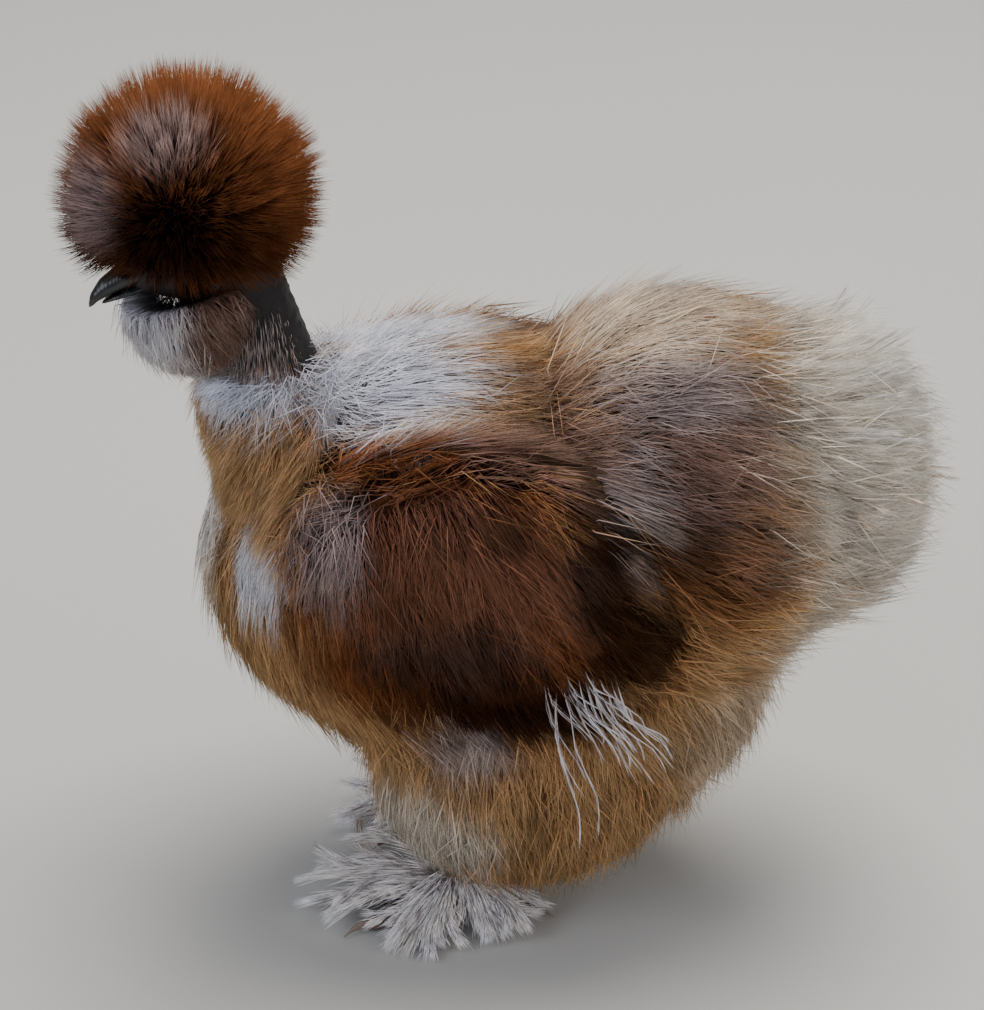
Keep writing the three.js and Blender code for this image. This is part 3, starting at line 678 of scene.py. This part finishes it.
def barbs(name, paths, width, form, values, look, head=False, root_shade=0.0):
    """Makes one piece. paths is (barbs, stations, 3) in mm, width gives each barb's, values its tones and
    light, and form is the oval whose unwrap the bake's patches lie on."""
    count, stations = paths.shape[:2]
    rings = stations - 2
    spots = from_head(paths) if head else paths
    along = unit(np.gradient(spots, axis=1))[:, 1:-1]
    side = unit(np.cross(along, unit(rng.normal(size=(count, 1, 3)))))
    high = np.cross(along, side)
    size = (width[:, None] / 2 * np.linspace(1.0, 0.7, rings))[..., None]
    corners = [spots[:, 1:-1] + size * (math.cos(a) * side + math.sin(a) * high)
               for a in (2 * math.pi * j / 3 for j in range(3))]
    ring_points = np.stack(corners, 2).reshape(count, rings * 3, 3)
    points = np.concatenate([spots[:, :1], ring_points, spots[:, -1:]], 1)
    per = points.shape[1]
    base = (np.arange(count) * per)[:, None]
    turn = [(1, 2), (2, 3), (3, 1)]
    faces = [(0, b, a) for a, b in turn]
    faces += [(r + a, r + b, r + 3 + b, r + 3 + a) for r in range(0, 3 * rings - 3, 3) for a, b in turn]
    last = 3 * rings - 3
    faces += [(last + a, last + b, last + 4) for a, b in turn]
    pattern = np.array([v for face in faces for v in face])
    starts = np.cumsum([0] + [len(face) for face in faces])
    loops = (base + pattern).astype(np.int32).ravel()
    begin = (np.arange(count)[:, None] * len(pattern) + starts[:-1]).astype(np.int32).ravel()
    mesh = bpy.data.meshes.new(name)
    mesh.vertices.add(count * per)
    mesh.vertices.foreach_set("co", to_row(points.reshape(-1, 3)).ravel())
    mesh.loops.add(len(loops))
    mesh.loops.foreach_set("vertex_index", loops)
    mesh.polygons.add(len(begin))
    mesh.polygons.foreach_set("loop_start", begin)
    share = np.repeat(np.arange(1, rings + 1) / (rings + 1), 3)
    share = np.concatenate([[0.0], share, [1.0]])
    paint(mesh, down_colours(values, root_shade + (1 - root_shade) * share))
    away = unit(paths[:, 0] - form["at"])
    u = 0.5 + UNWRAP / 2 * np.arctan2(away[:, 1], away[:, 0]) / math.pi
    v = 0.5 + UNWRAP * np.arcsin(np.clip(away[:, 2], -1, 1)) / math.pi
    across = np.concatenate([[0.0], np.tile([-0.4, 0.0, 0.4], rings), [0.0]]) * PATCH
    at_point = np.stack([u[:, None] + across, v[:, None] + (share - 0.5) * PATCH], 2).reshape(-1, 2)
    uv = mesh.uv_layers.new(name="OFBake")
    uv.data.foreach_set("uv", at_point[loops].astype(np.float32).ravel())
    mesh.update(calc_edges=True)
    mesh.validate()
    return finish_piece(name, mesh, look)


COVERED = -1.0      # a place this deep in another form has no barbs of its own


def seeds_on(form, count, cover):
    """Even random places over an oval's skin, kept where the other forms don't cover it."""
    half = form["half"] - form["depth"]
    found = np.zeros((0, 3))
    while len(found) < count:
        d = unit(rng.normal(size=(count * 4, 3)))
        keep = rng.random(len(d)) < np.linalg.norm(d / half, axis=1) * half.min()
        d = d[keep]
        c, s = math.cos(form["tilt"]), math.sin(form["tilt"])
        p = d * half
        p = np.stack([p[:, 0] * c + p[:, 2] * s, p[:, 1], -p[:, 0] * s + p[:, 2] * c], 1) + form["at"]
        clear = np.ones(len(p), bool)
        for other in cover:
            if other is not form:
                clear &= outside(other, p) > COVERED
        found = np.vstack([found, p[clear]])
    return found[:count]


def nearest(points, guides):
    tree = KDTree(len(guides))
    for i, g in enumerate(guides):
        tree.insert(g, i)
    tree.balance()
    return np.array([tree.find(p)[1] for p in points])


# How far each barb has risen and run by its middle and by its tip: it leaves the skin steeply.
LIFTS, RUNS = (0.6, 1.0), (0.24, 0.54)
ROOTED = -2.0       # roots start this far under the core
HUG = 0.9           # how closely barbs follow the skin
LEAST_RUN = 0.12    # a barb that heads straight out still runs a little


def lay(forms, roots, lie, length, lift, sway):
    """Paths that start under the core, follow the lie over it and lift out to their tips."""
    point = settle(forms, roots, ROOTED)
    path = [point]
    toward = unit(lie + sway)
    for share, run in zip(LIFTS, RUNS):
        up = normals(forms, point)
        facing = np.clip((toward * up).sum(1), 0, 1)
        flat = unit(toward - up * (toward * up).sum(1)[:, None] * HUG)
        slide = np.sqrt(np.maximum(1 - facing ** 2, LEAST_RUN))
        point = point + flat * (slide * length * run)[:, None]
        point = settle(forms, point, share * lift, 2)
        path.append(point)
    return np.stack(path, 1)


def gathered(paths, guide_of, guides, pull):
    """Draws barbs towards their lock's own line, more so at the tips."""
    share = np.linspace(0, 1, paths.shape[1])[None, :, None] ** 1.3
    return paths + (guides[guide_of] - paths) * share * pull[:, None, None]


WILD = 0.3          # how far a barb's heading strays from the lie
SHOWS = 0.7         # the share of an oval that locks cover
SCATTER = 0.12      # how far single barbs carry a mark past its edge


def coat(name, form, count, lie, length, *, slot, width=0.46, forms=BODY, cover=BODY, pull=0.55,
         lock_size=9.0, lift=1.0, stray=0.1, waist=None, head=False, extra=None, keep=None):
    """Covers an oval with barbs of a length that follow its lie, gathered into locks by pull, apart from
    the strays. cover hides places and keep chooses them, waist flattens the coat and extra recolours it."""
    count = int(count * QUICK)
    roots = seeds_on(form, count, cover)
    if keep is not None:
        roots = roots[keep(roots)]
        count = len(roots)
    area = 4 * math.pi * np.prod(form["half"] - form["depth"]) ** (2 / 3) * SHOWS
    lock_count = max(int(area / lock_size ** 2), 12)
    picks = rng.choice(count, min(lock_count, count), replace=False)
    depth = max(form["depth"], 6) * lift

    def run(where, wild):
        n = len(where)
        going = lie(where) if callable(lie) else np.tile(vec(*lie), (n, 1))
        sway = rng.normal(size=(n, 3)) * wild
        long = length * pick(0.8, 1.15, n)
        lifts = depth * pick(0.72, 1.08, n)
        if waist:
            lifts = lifts * waist(where)
        return going, long, lifts, sway

    guides = lay(forms, roots[picks], *run(roots[picks], WILD * 0.8))
    going, long, lifts, sway = run(roots, WILD)
    strays = rng.random(count) < stray
    lifts = np.where(strays, lifts * 1.25, lifts)
    paths = lay(forms, roots, going, long, lifts, sway)
    guide_of = nearest(roots, roots[picks])
    strength = pull * pick(0.6, 1.25, count) * ~strays
    paths = gathered(paths, guide_of, guides, np.clip(strength, 0, 0.95))
    shown = paths[:, -2] * 0.45 + paths[:, -1] * 0.55
    place = from_head(shown) if head else shown
    values = markings(place, rng.normal(size=count) * SCATTER)
    values |= {"chance": rng.random(count), "lock": rng.random(len(picks))[guide_of]}
    if extra:
        values = extra(place, values)
    return barbs(name + "_down", paths, width * pick(0.75, 1.2, count), form, values, DOWN_COAT, head)


def flow(*stops):
    """A lie that turns along X between stops of (x, direction)."""
    xs = [s[0] for s in stops]

    def at(points):
        return unit(np.stack([np.interp(points[:, 0], xs, [s[1][i] for s in stops]) for i in range(3)], 1))

    return at


DOWNWARD = flow((-112, (-0.15, 0, -1)), (-60, (0.2, 0, -1)))
BACK = flow((-90, (0.3, 0, -1)), (-40, (0.8, 0, -0.55)), (60, (1, 0, -0.35)))
WING_LIE = flow((-76, (0.05, 0, -1)), (-30, (0.3, 0, -1)), (20, (0.7, 0, -0.8)), (64, (1, 0, -0.7)))
TAIL_LIE = flow((70, (1, 0, 0.1)), (150, (1, 0, -0.15)))
NECK_FOOT = 178     # the height of the hollow under the neck


def over_waist(points):
    """The down lies flatter on the front below the neck, over the full lower breast."""
    return 1 - 0.75 * np.exp(-((points[:, 2] - NECK_FOOT) / 22) ** 2) * smooth(-70, -95, points[:, 0])


coat("breast", BREAST, 16000, DOWNWARD, 30, pull=0.4, stray=0.18, slot="buff_feather", waist=over_waist)
coat("torso", TORSO, 16000, BACK, 37, pull=0.45, slot="buff_feather")
coat("saddle", SADDLE, 17500, flow((0, (0.9, 0, -0.45)), (110, (1, 0, -0.3))), 41, pull=0.45, stray=0.14,
     slot="saddle_feather")
coat("abdomen", ABDOMEN, 11500, (0.4, 0, -0.9), 35, pull=0.45, stray=0.18, slot="buff_feather")
coat("tail_base", TAIL, 7000, TAIL_LIE, 40, pull=0.4, lock_size=7, slot="tail_feather")
for side, form in (("left", WING), ("right", mirrored(WING))):
    coat("wing_" + side, form, 18500 if side == "left" else 11000, WING_LIE, 37, pull=0.7, lock_size=6.5,
         lift=1.25, slot="chestnut_feather")
for side, form in (("left", THIGH), ("right", mirrored(THIGH))):
    coat("thigh_" + side, form, 12000 if side == "left" else 8000, (0.12, 0, -1), 35, pull=0.4,
         stray=0.18, slot="buff_feather")
coat("neck_bow", NECK_BOW, 7000, (-0.1, 0, -1), 20, forms=[NECK_BOW, BREAST, TORSO], pull=0.3, stray=0.2,
     slot="pale_feather", lift=0.9, lock_size=6, cover=[BREAST, TORSO])


# The tail: long stringy strands that fan out from within the rear of the body to a ragged edge.
def upper_rear(heading):
    """The tail is longest at its upper rear and shorter low down."""
    high, low = smooth(0.1, 0.6, heading[:, 2]), smooth(0, -0.4, heading[:, 2])
    return 1 + 0.1 * high * smooth(0.1, 0.5, heading[:, 0]) - 0.08 * low


FAN_TURN = math.radians(88)                         # how far the fan opens to each side
FAN_RISE = math.radians(-48), math.radians(66)      # its lowest and highest strands
PER_TUFT = 30                                       # strands that share a tuft


def headings(turn, rise):
    """Directions from a turn about Z, where 0 is to the rear, and a rise."""
    return np.stack([np.cos(turn) * np.cos(rise), np.sin(turn) * np.cos(rise), np.sin(rise)], 1)


def tail_fan(count):
    count = int(count * QUICK)
    turn = pick(-1, 1, count) * FAN_TURN
    rise = np.arcsin(pick(*np.sin(FAN_RISE), count))
    heading = headings(turn, rise)
    depth = rng.beta(3.0, 1.0, count)
    ragged = 0.97 + 0.05 * wobble(heading * 40, 17) + rng.normal(size=count) * 0.025
    reach = np.clip(ragged, 0.84, 1.06) * (0.72 + 0.28 * depth) * upper_rear(heading)
    tips = TAIL["at"] + TAIL["half"] * heading * reach[:, None]
    roots = TAIL["at"] + vec(-34, 0, 2) + TAIL["half"] * heading * vec(0.5, 0.52, 0.5) * depth[:, None]
    bow = (tips + roots) / 2 + vec(2, 0, 3.5) + rng.normal(size=(count, 3)) * 1.2
    paths = np.stack([roots, bow, tips], 1)
    picks = rng.choice(count, max(count // PER_TUFT, 8), replace=False)
    guide_of = nearest(tips, tips[picks])
    paths = gathered(paths, guide_of, paths[picks], 0.5 * pick(0.2, 1.6, count))
    values = markings(tips * 0.75 + bow * 0.25, rng.normal(size=count) * SCATTER)
    high = smooth(-0.2, 0.35, rise + rng.normal(size=count) * 0.15)
    values["pale"] = np.maximum(values["pale"], 0.95 * high * smooth(88, 116, tips[:, 0]))
    values |= {"chance": rng.random(count), "lock": rng.random(len(picks))[guide_of]}
    barbs("tail_fan", paths, 0.45 * pick(0.7, 1.25, count), TAIL, values, STRING_COAT)


tail_fan(16000)


# The head's down, on the head's own axes: the crest's pompom, the dark face and the beard.
def on_crest(places, values):
    """Chestnut at the rim, darkened near black on its underside towards the face as painted shade under the
    crest, with a painted grey-mauve sheen on crown and brow.
    """
    local = places - from_head(CREST["at"])
    wander = 0.12 * wobble(local, 24) + rng.normal(size=len(local)) * 0.1

    def near(at, radii):
        return smooth(1.35, 0.5, np.linalg.norm((local - vec(*at)) / vec(*radii), axis=1) + wander)

    values = no_tones(len(local)) | values
    values["rust"] = np.ones(len(local))
    # Painted shade: the crest's underside by the face, the brow and the nape is darkened near black, over an
    # even dark share of 0.45 that is its own browner tone.
    face, brow = near((-6, -38, -4), (34, 26, 24)), near((-26, -12, -16), (26, 30, 20))
    nape = near((24, -30, -14), (26, 26, 26))
    values["dark"] = np.maximum.reduce([0.93 * face, 0.85 * brow, 0.7 * nape, np.full(len(local), 0.45)])
    # Painted sheen: grey-mauve, with a little pale, on the crown and over the brow.
    crown, front = near((-6, -24, 30), (17, 14, 13)), near((-34, -24, 6), (15, 21, 17))
    values["mauve"] = np.maximum(0.7 * crown, 0.7 * front)
    values["pale"] = 0.12 * values["mauve"]
    return values


# The crest's lower rim, from the bill's side at -1 to the nape at 1.
RIM_FROM, RIM_LOWEST = [-1, -0.55, -0.2, 0.4, 1], [-0.3, -0.36, -0.5, -0.66, -0.74]
PER_CURL = 22       # barbs that share a curl of the crest


def crest(count):
    count = int(count * QUICK)
    heading = unit(rng.normal(size=(count * 3, 3)))
    heading = heading[heading[:, 2] > np.interp(heading[:, 0], RIM_FROM, RIM_LOWEST)][:count]
    count = len(heading)
    ragged = 1.03 + 0.04 * wobble(heading * 40, 30) + rng.normal(size=count) * 0.04
    reach = np.clip(ragged, 0.8, 1.07) * (0.6 + 0.4 * rng.beta(4.5, 1.0, count))
    tips = CREST["at"] + CREST["half"] * heading * reach[:, None]
    inner = unit(tips - vec(2, 0, 1))
    roots = inner * (SKULL["half"] - 1) * pick(0.7, 1.0, (count, 1))
    roots[:, 2] = np.maximum(roots[:, 2], -5)
    arch = unit(rng.normal(size=(count, 3))) * 2.6 + vec(0, 0, 4.5)
    paths = np.stack([roots, roots + (tips - roots) * 0.55 + arch, tips], 1)
    picks = rng.choice(count, max(count // PER_CURL, 8), replace=False)
    guide_of = nearest(tips, tips[picks])
    paths = gathered(paths, guide_of, paths[picks], 0.35 * pick(0.1, 1.6, count))
    values = {"chance": rng.random(count), "lock": rng.random(len(picks))[guide_of]}
    values = on_crest(from_head(paths[:, 2] * 0.7 + paths[:, 1] * 0.3), values)
    return barbs("crest_down", paths, 0.43 * pick(0.7, 1.25, count), CREST, values, DOWN_COAT,
                 True)


def all_dark(places, values):
    return values | no_tones(len(places)) | {"dark": np.ones(len(places))}


def on_beard(places, values):
    """Grey-white towards the bill, taupe behind and tan along the lower fringe."""
    local = (places - HEAD_AT) @ HEAD_AXES
    wander = 4 * wobble(local, 20) + rng.normal(size=len(local)) * 3
    back, high = local[:, 0] + wander, local[:, 2] + wander
    values = values | no_tones(len(local))
    values["mauve"] = smooth(-19, -8, back) * 0.85
    values["pale"] = smooth(-6, -19, back) * smooth(-11, -17, local[:, 2]) * 0.85
    # Dark along the top, by the face: painted shade under the crest. Behind, towards the neck, a little
    # darker too.
    values["dark"] = np.maximum(smooth(-16, -5, high) * 0.6, smooth(-2, 10, back) * 0.4)
    values["cream"] = smooth(-36, -44, high) * 0.3
    return values


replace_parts(crest(22000), "crest")
HEAD_FORMS = [SKULL, FACE, CHEEKS]
# Short down on the face, all in the dark tone: partly the face's own dark colour, partly painted shade under
# the crest.
coat("face", CHEEKS, 4000, (0.6, 0, -0.5), 11, forms=HEAD_FORMS, cover=[], pull=0.3, lock_size=4, lift=0.5,
     head=True, slot="dark_skin", extra=all_dark, width=0.4,
     keep=lambda p: (p[:, 0] > -11) & ((p[:, 2] > -7) | (p[:, 0] > 4))
     & (np.linalg.norm(on_left(p) - EYE_AT, axis=1) > 7))
beard = coat("beard", BEARD, 9000, (0.15, 0, -1), 20, forms=[BEARD, *HEAD_FORMS], cover=HEAD_FORMS,
             pull=0.4, lock_size=5, lift=1.1, head=True, slot="beard_feather", extra=on_beard,
             keep=lambda p: p[:, 0] < 16)
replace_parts(beard, "beard")


# Stringy vanes: a thin shaft, and fine barbs that leave it at narrow angles to both sides.
FINE = 24           # steps along a vane's line
SHAFT = 0.5         # the thickness of a shaft


def vanes(name, lines, per, wide, form, tones, width, bright=0.0, level=0.0):
    """Makes vanes and their shafts. lines is (vanes, points, 3), and each vane has per barbs that reach
    out by wide. tones gives the share of each colour, level lays vanes flat and bright paints light on them
    by raising their least light."""
    per = max(int(per * QUICK), 4)
    fine = np.array([curve(line, FINE + 1) for line in lines])
    shafts = fine[:, ::4].copy()
    count = len(lines) * per
    vane_of = np.repeat(np.arange(len(lines)), per)
    start = pick(0.0, 0.82, count)
    stop = np.minimum(start + pick(0.2, 0.5, count), 1.0)
    drift = unit(rng.normal(size=(len(lines), 3)) + vec(0, 0, level))
    flat = unit(np.cross(fine[:, -1] - fine[:, 0], drift))
    out = flat[vane_of] * rng.choice([-1, 1], (count, 1)) + rng.normal(size=(count, 3)) * 0.35
    reach = wide * rng.beta(1.3, 1.6, count) * (1.1 - 0.7 * stop)
    steps = []
    for share in (0, 0.5, 1.0):
        t = (start + (stop - start) * share) * FINE
        i = np.minimum(t.astype(int), FINE - 1)
        u = (t - i)[:, None]
        spot = fine[vane_of, i] * (1 - u) + fine[vane_of, i + 1] * u
        steps.append(spot + out * (reach * share ** 0.5)[:, None])
    paths = np.stack(steps, 1)
    paths[:, :, 2] = np.maximum(paths[:, :, 2], 0.5)
    shafts[:, :, 2] = np.maximum(shafts[:, :, 2], 0.6)
    # Painted light where bright is high: the least light of each vane and barb is raised.
    lock = bright + (1 - bright) * rng.random(len(lines))

    def coloured(vane, chance):
        shares = {key: share[vane] * (0.8 + 0.2 * chance) for key, share in tones.items()}
        light = {"chance": bright + (1 - bright) * chance, "lock": lock[vane]}
        return no_tones(len(vane)) | shares | light

    barbs(name, paths, width * pick(0.7, 1.3, count), form, coloured(vane_of, rng.random(count)),
          STRING_COAT, root_shade=0.55)
    barbs(name + "_shafts", shafts, np.full(len(lines), SHAFT), form,
          coloured(np.arange(len(lines)), np.full(len(lines), 0.7)), STRING_COAT, root_shade=0.55)


# The clumps of vanes round a foot: each one's heading, and its share of the vanes.
CLUMPS = {34: 0.12, 50: 0.1, 82: 0.04, 112: 0.14, 126: 0.14,
          138: 0.1, 164: 0.1, 180: 0.12, 196: 0.09, 214: 0.05}

for side, sign in (("left", -1), ("right", 1)):
    n = 72
    clumps = rng.choice(list(CLUMPS), n, p=list(CLUMPS.values()))
    turn = clumps + rng.normal(size=n) * 6
    far = np.interp(turn, [30, 60, 80, 125, 150, 165, 195, 228], [34, 30, 22, 38, 34, 52, 56, 40])
    far = np.maximum(far * rng.beta(3.4, 1.1, n) * 1.1, 12)
    start = pick(6, 18, n)
    end = np.interp(turn, [20, 60, 120, 170, 220], [7, 4, 1, 9, 13]) * pick(0.4, 1.4, n) + 1
    twist = rng.normal(size=n) * 14
    lines = np.stack([on_foot(side, turn + twist * share ** 2, 3 + far * share ** 0.9,
                              start + (end - start) * share ** 1.2 + 7 * share * (1 - share))
                      for share in (0, 0.35, 0.7, 1)], 1)
    brown = smooth(180, 215, turn) * 0.4
    foot = oval((FEET[side][0], FOOT_OUT * sign, ANKLE_UP), (30, 30, 12))
    # bright=0.8 raises the foot vanes' colour: painted light against the shade under the body.
    vanes("foot_vanes_" + side, lines, 100, 7.5, foot,
          {"pale": np.clip(pick(0.8, 1.3, n) - brown, 0, 1), "cream": pick(0.1, 0.7, n),
           "mauve": pick(0, 0.2, n)}, 0.4, bright=0.8, level=3.0)

    # Strings that hang from the wing's tip over the thigh, two of them longer.
    n = 34
    x = pick(12, 40, n)
    top = np.stack([x, sign * pick(72, 80, n), 132 - 0.25 * (x - 22) + pick(-6, 6, n)], 1)
    fall = np.stack([pick(8, 27, n), sign * pick(2, 11, n), -pick(20, 42, n)], 1)
    top[:2, 0] = (19, 23)
    fall[:2] = [(9, sign * 9, -68), (11, sign * 9, -60)]
    bend = rng.normal(size=(n, 3)) * vec(2, 1.2, 1)
    lines = np.stack([top, top + fall * 0.4 + vec(-3, sign * 5, 1) + bend * 0.5, top + fall * 0.75 + bend,
                      top + fall], 1)
    vanes("wing_strings_" + side, lines, 14, 1.4, WING if sign < 0 else mirrored(WING),
          {"pale": pick(0.35, 0.9, n), "mauve": pick(0.3, 0.9, n)}, 0.2)

# Wisps that stand out of the tail's edge.
n = 84
turn = np.radians(pick(-70, 70, n))
rise = np.radians(pick(-6, 60, n))
heading = headings(turn, rise)
edge = TAIL["at"] + heading * TAIL["half"]
root = TAIL["at"] + vec(-14, 0, 0) + heading * TAIL["half"] * 0.6
past = (pick(-3, 7, n) * upper_rear(heading) ** 6)[:, None]
lines = np.stack([root, (root + edge) / 2 + vec(0, 0, 3), edge + heading * past], 1)
vanes("tail_wisps", lines, 36, 3.2, TAIL,
      {"cream": pick(0.3, 0.8, n), "pale": smooth(-0.1, 0.4, rise) * 0.95}, 0.3)

# Sparse pale hairs on the bare neck, thicker where it enters the bow.
count = int(4500 * QUICK)
t = rng.beta(3.2, 1.0, count) * 0.62 + 0.05
turn = pick(0, 2 * math.pi, count)
out = np.stack([np.cos(turn), np.sin(turn), 0 * turn], 1)
out = unit(out + vec(0.35, 0, 0.1) * (out @ vec(-1, 0, 0))[:, None])
size = (NECK_RADIUS - 0.4 + NECK_WIDENS * t * t)[:, None]
long = (pick(4, 8, count) + 9 * smooth(0.35, 0.6, t))[:, None]
roots = neck_at(t) + out * size
paths = np.stack([roots, roots + (out * 0.35 + vec(0, 0, -0.5)) * long,
                  roots + (out * 0.4 + vec(0, 0, -1)) * long], 1)
values = no_tones(count) | {"pale": pick(0.05, 0.6, count), "mauve": pick(0.2, 0.9, count)}
values |= {"chance": rng.random(count), "lock": rng.random(count)}
barbs("neck_hairs", paths, pick(0.14, 0.3, count), NECK_BOW, values, DOWN_COAT)

# Studio: a pale floor, soft light from three discs and a pale world, in metres.
bm = bmesh.new()
bmesh.ops.create_grid(bm, x_segments=1, y_segments=1, size=6)
floor_mesh = mesh_of(bm, "studio_floor")
# Matt wall paint: chalky and even, with clouds of about a metre that hardly show.
wall_paint, tree, shader, place = material("matt_studio_paint")
clouds = node(tree, "TexNoise", links={"Vector": place}, values=grain(900.0)).outputs["Fac"]
colour = node(tree, "Mix", COLOURS, {0: clouds}, {A: linear("#d9d8d5"), B: linear("#cfcecb")})
plug(tree, shader, {"Base Color": colour.outputs[MIXED]}, {"Roughness": 0.9, "Specular IOR Level": 0.1})
floor_mesh.materials.append(wall_paint)
floor = bpy.data.objects.new("studio_floor", floor_mesh)
bpy.context.scene.collection.objects.link(floor)

LAMPS_AIM = (0, 0, 0.15)


def lamp(name, at, size, watts, colour):
    light = bpy.data.lights.new(name, "AREA")
    light.shape = "DISK"
    light.size = size
    light.energy = watts
    light.color = linear(colour)[:3]
    holder = bpy.data.objects.new(name, light)
    bpy.context.scene.collection.objects.link(holder)
    holder.location = at
    holder.rotation_euler = (Vector(LAMPS_AIM) - Vector(at)).to_track_quat("-Z", "Y").to_euler()


lamp("overhead", (0.25, 0.35, 1.9), 1.4, 38, "#fffaf2")
lamp("window", (-1.5, -1.3, 1.1), 1.2, 13, "#eef3ff")
lamp("fill", (1.6, -1.2, 0.9), 1.4, 7, "#fff6ec")
world = bpy.data.worlds.new("studio_air")
world.use_nodes = True
air = world.node_tree.nodes["Background"]
plug(world.node_tree, air, values={"Color": linear("#dfe4ea"), "Strength": 0.42})
bpy.context.scene.world = world

# The camera, as worked out from the photograph: its focal length in pixels, over the frame's longer side.
ELEVATION, FAR = math.radians(28), 1200
AIM = vec(-2.9, 0, 154)
SENSOR, FOCAL_PIXELS, FRAME_PIXELS = 36, 3333, 1010
camera = bpy.data.objects.new("camera", bpy.data.cameras.new("camera"))
bpy.context.scene.collection.objects.link(camera)
camera.location = to_row(AIM + FAR * vec(0, -math.cos(ELEVATION), math.sin(ELEVATION)))
camera.rotation_euler = (math.pi / 2 - ELEVATION, 0, 0)
camera.data.sensor_width = SENSOR
camera.data.lens = SENSOR * FOCAL_PIXELS / FRAME_PIXELS
bpy.context.scene.camera = camera
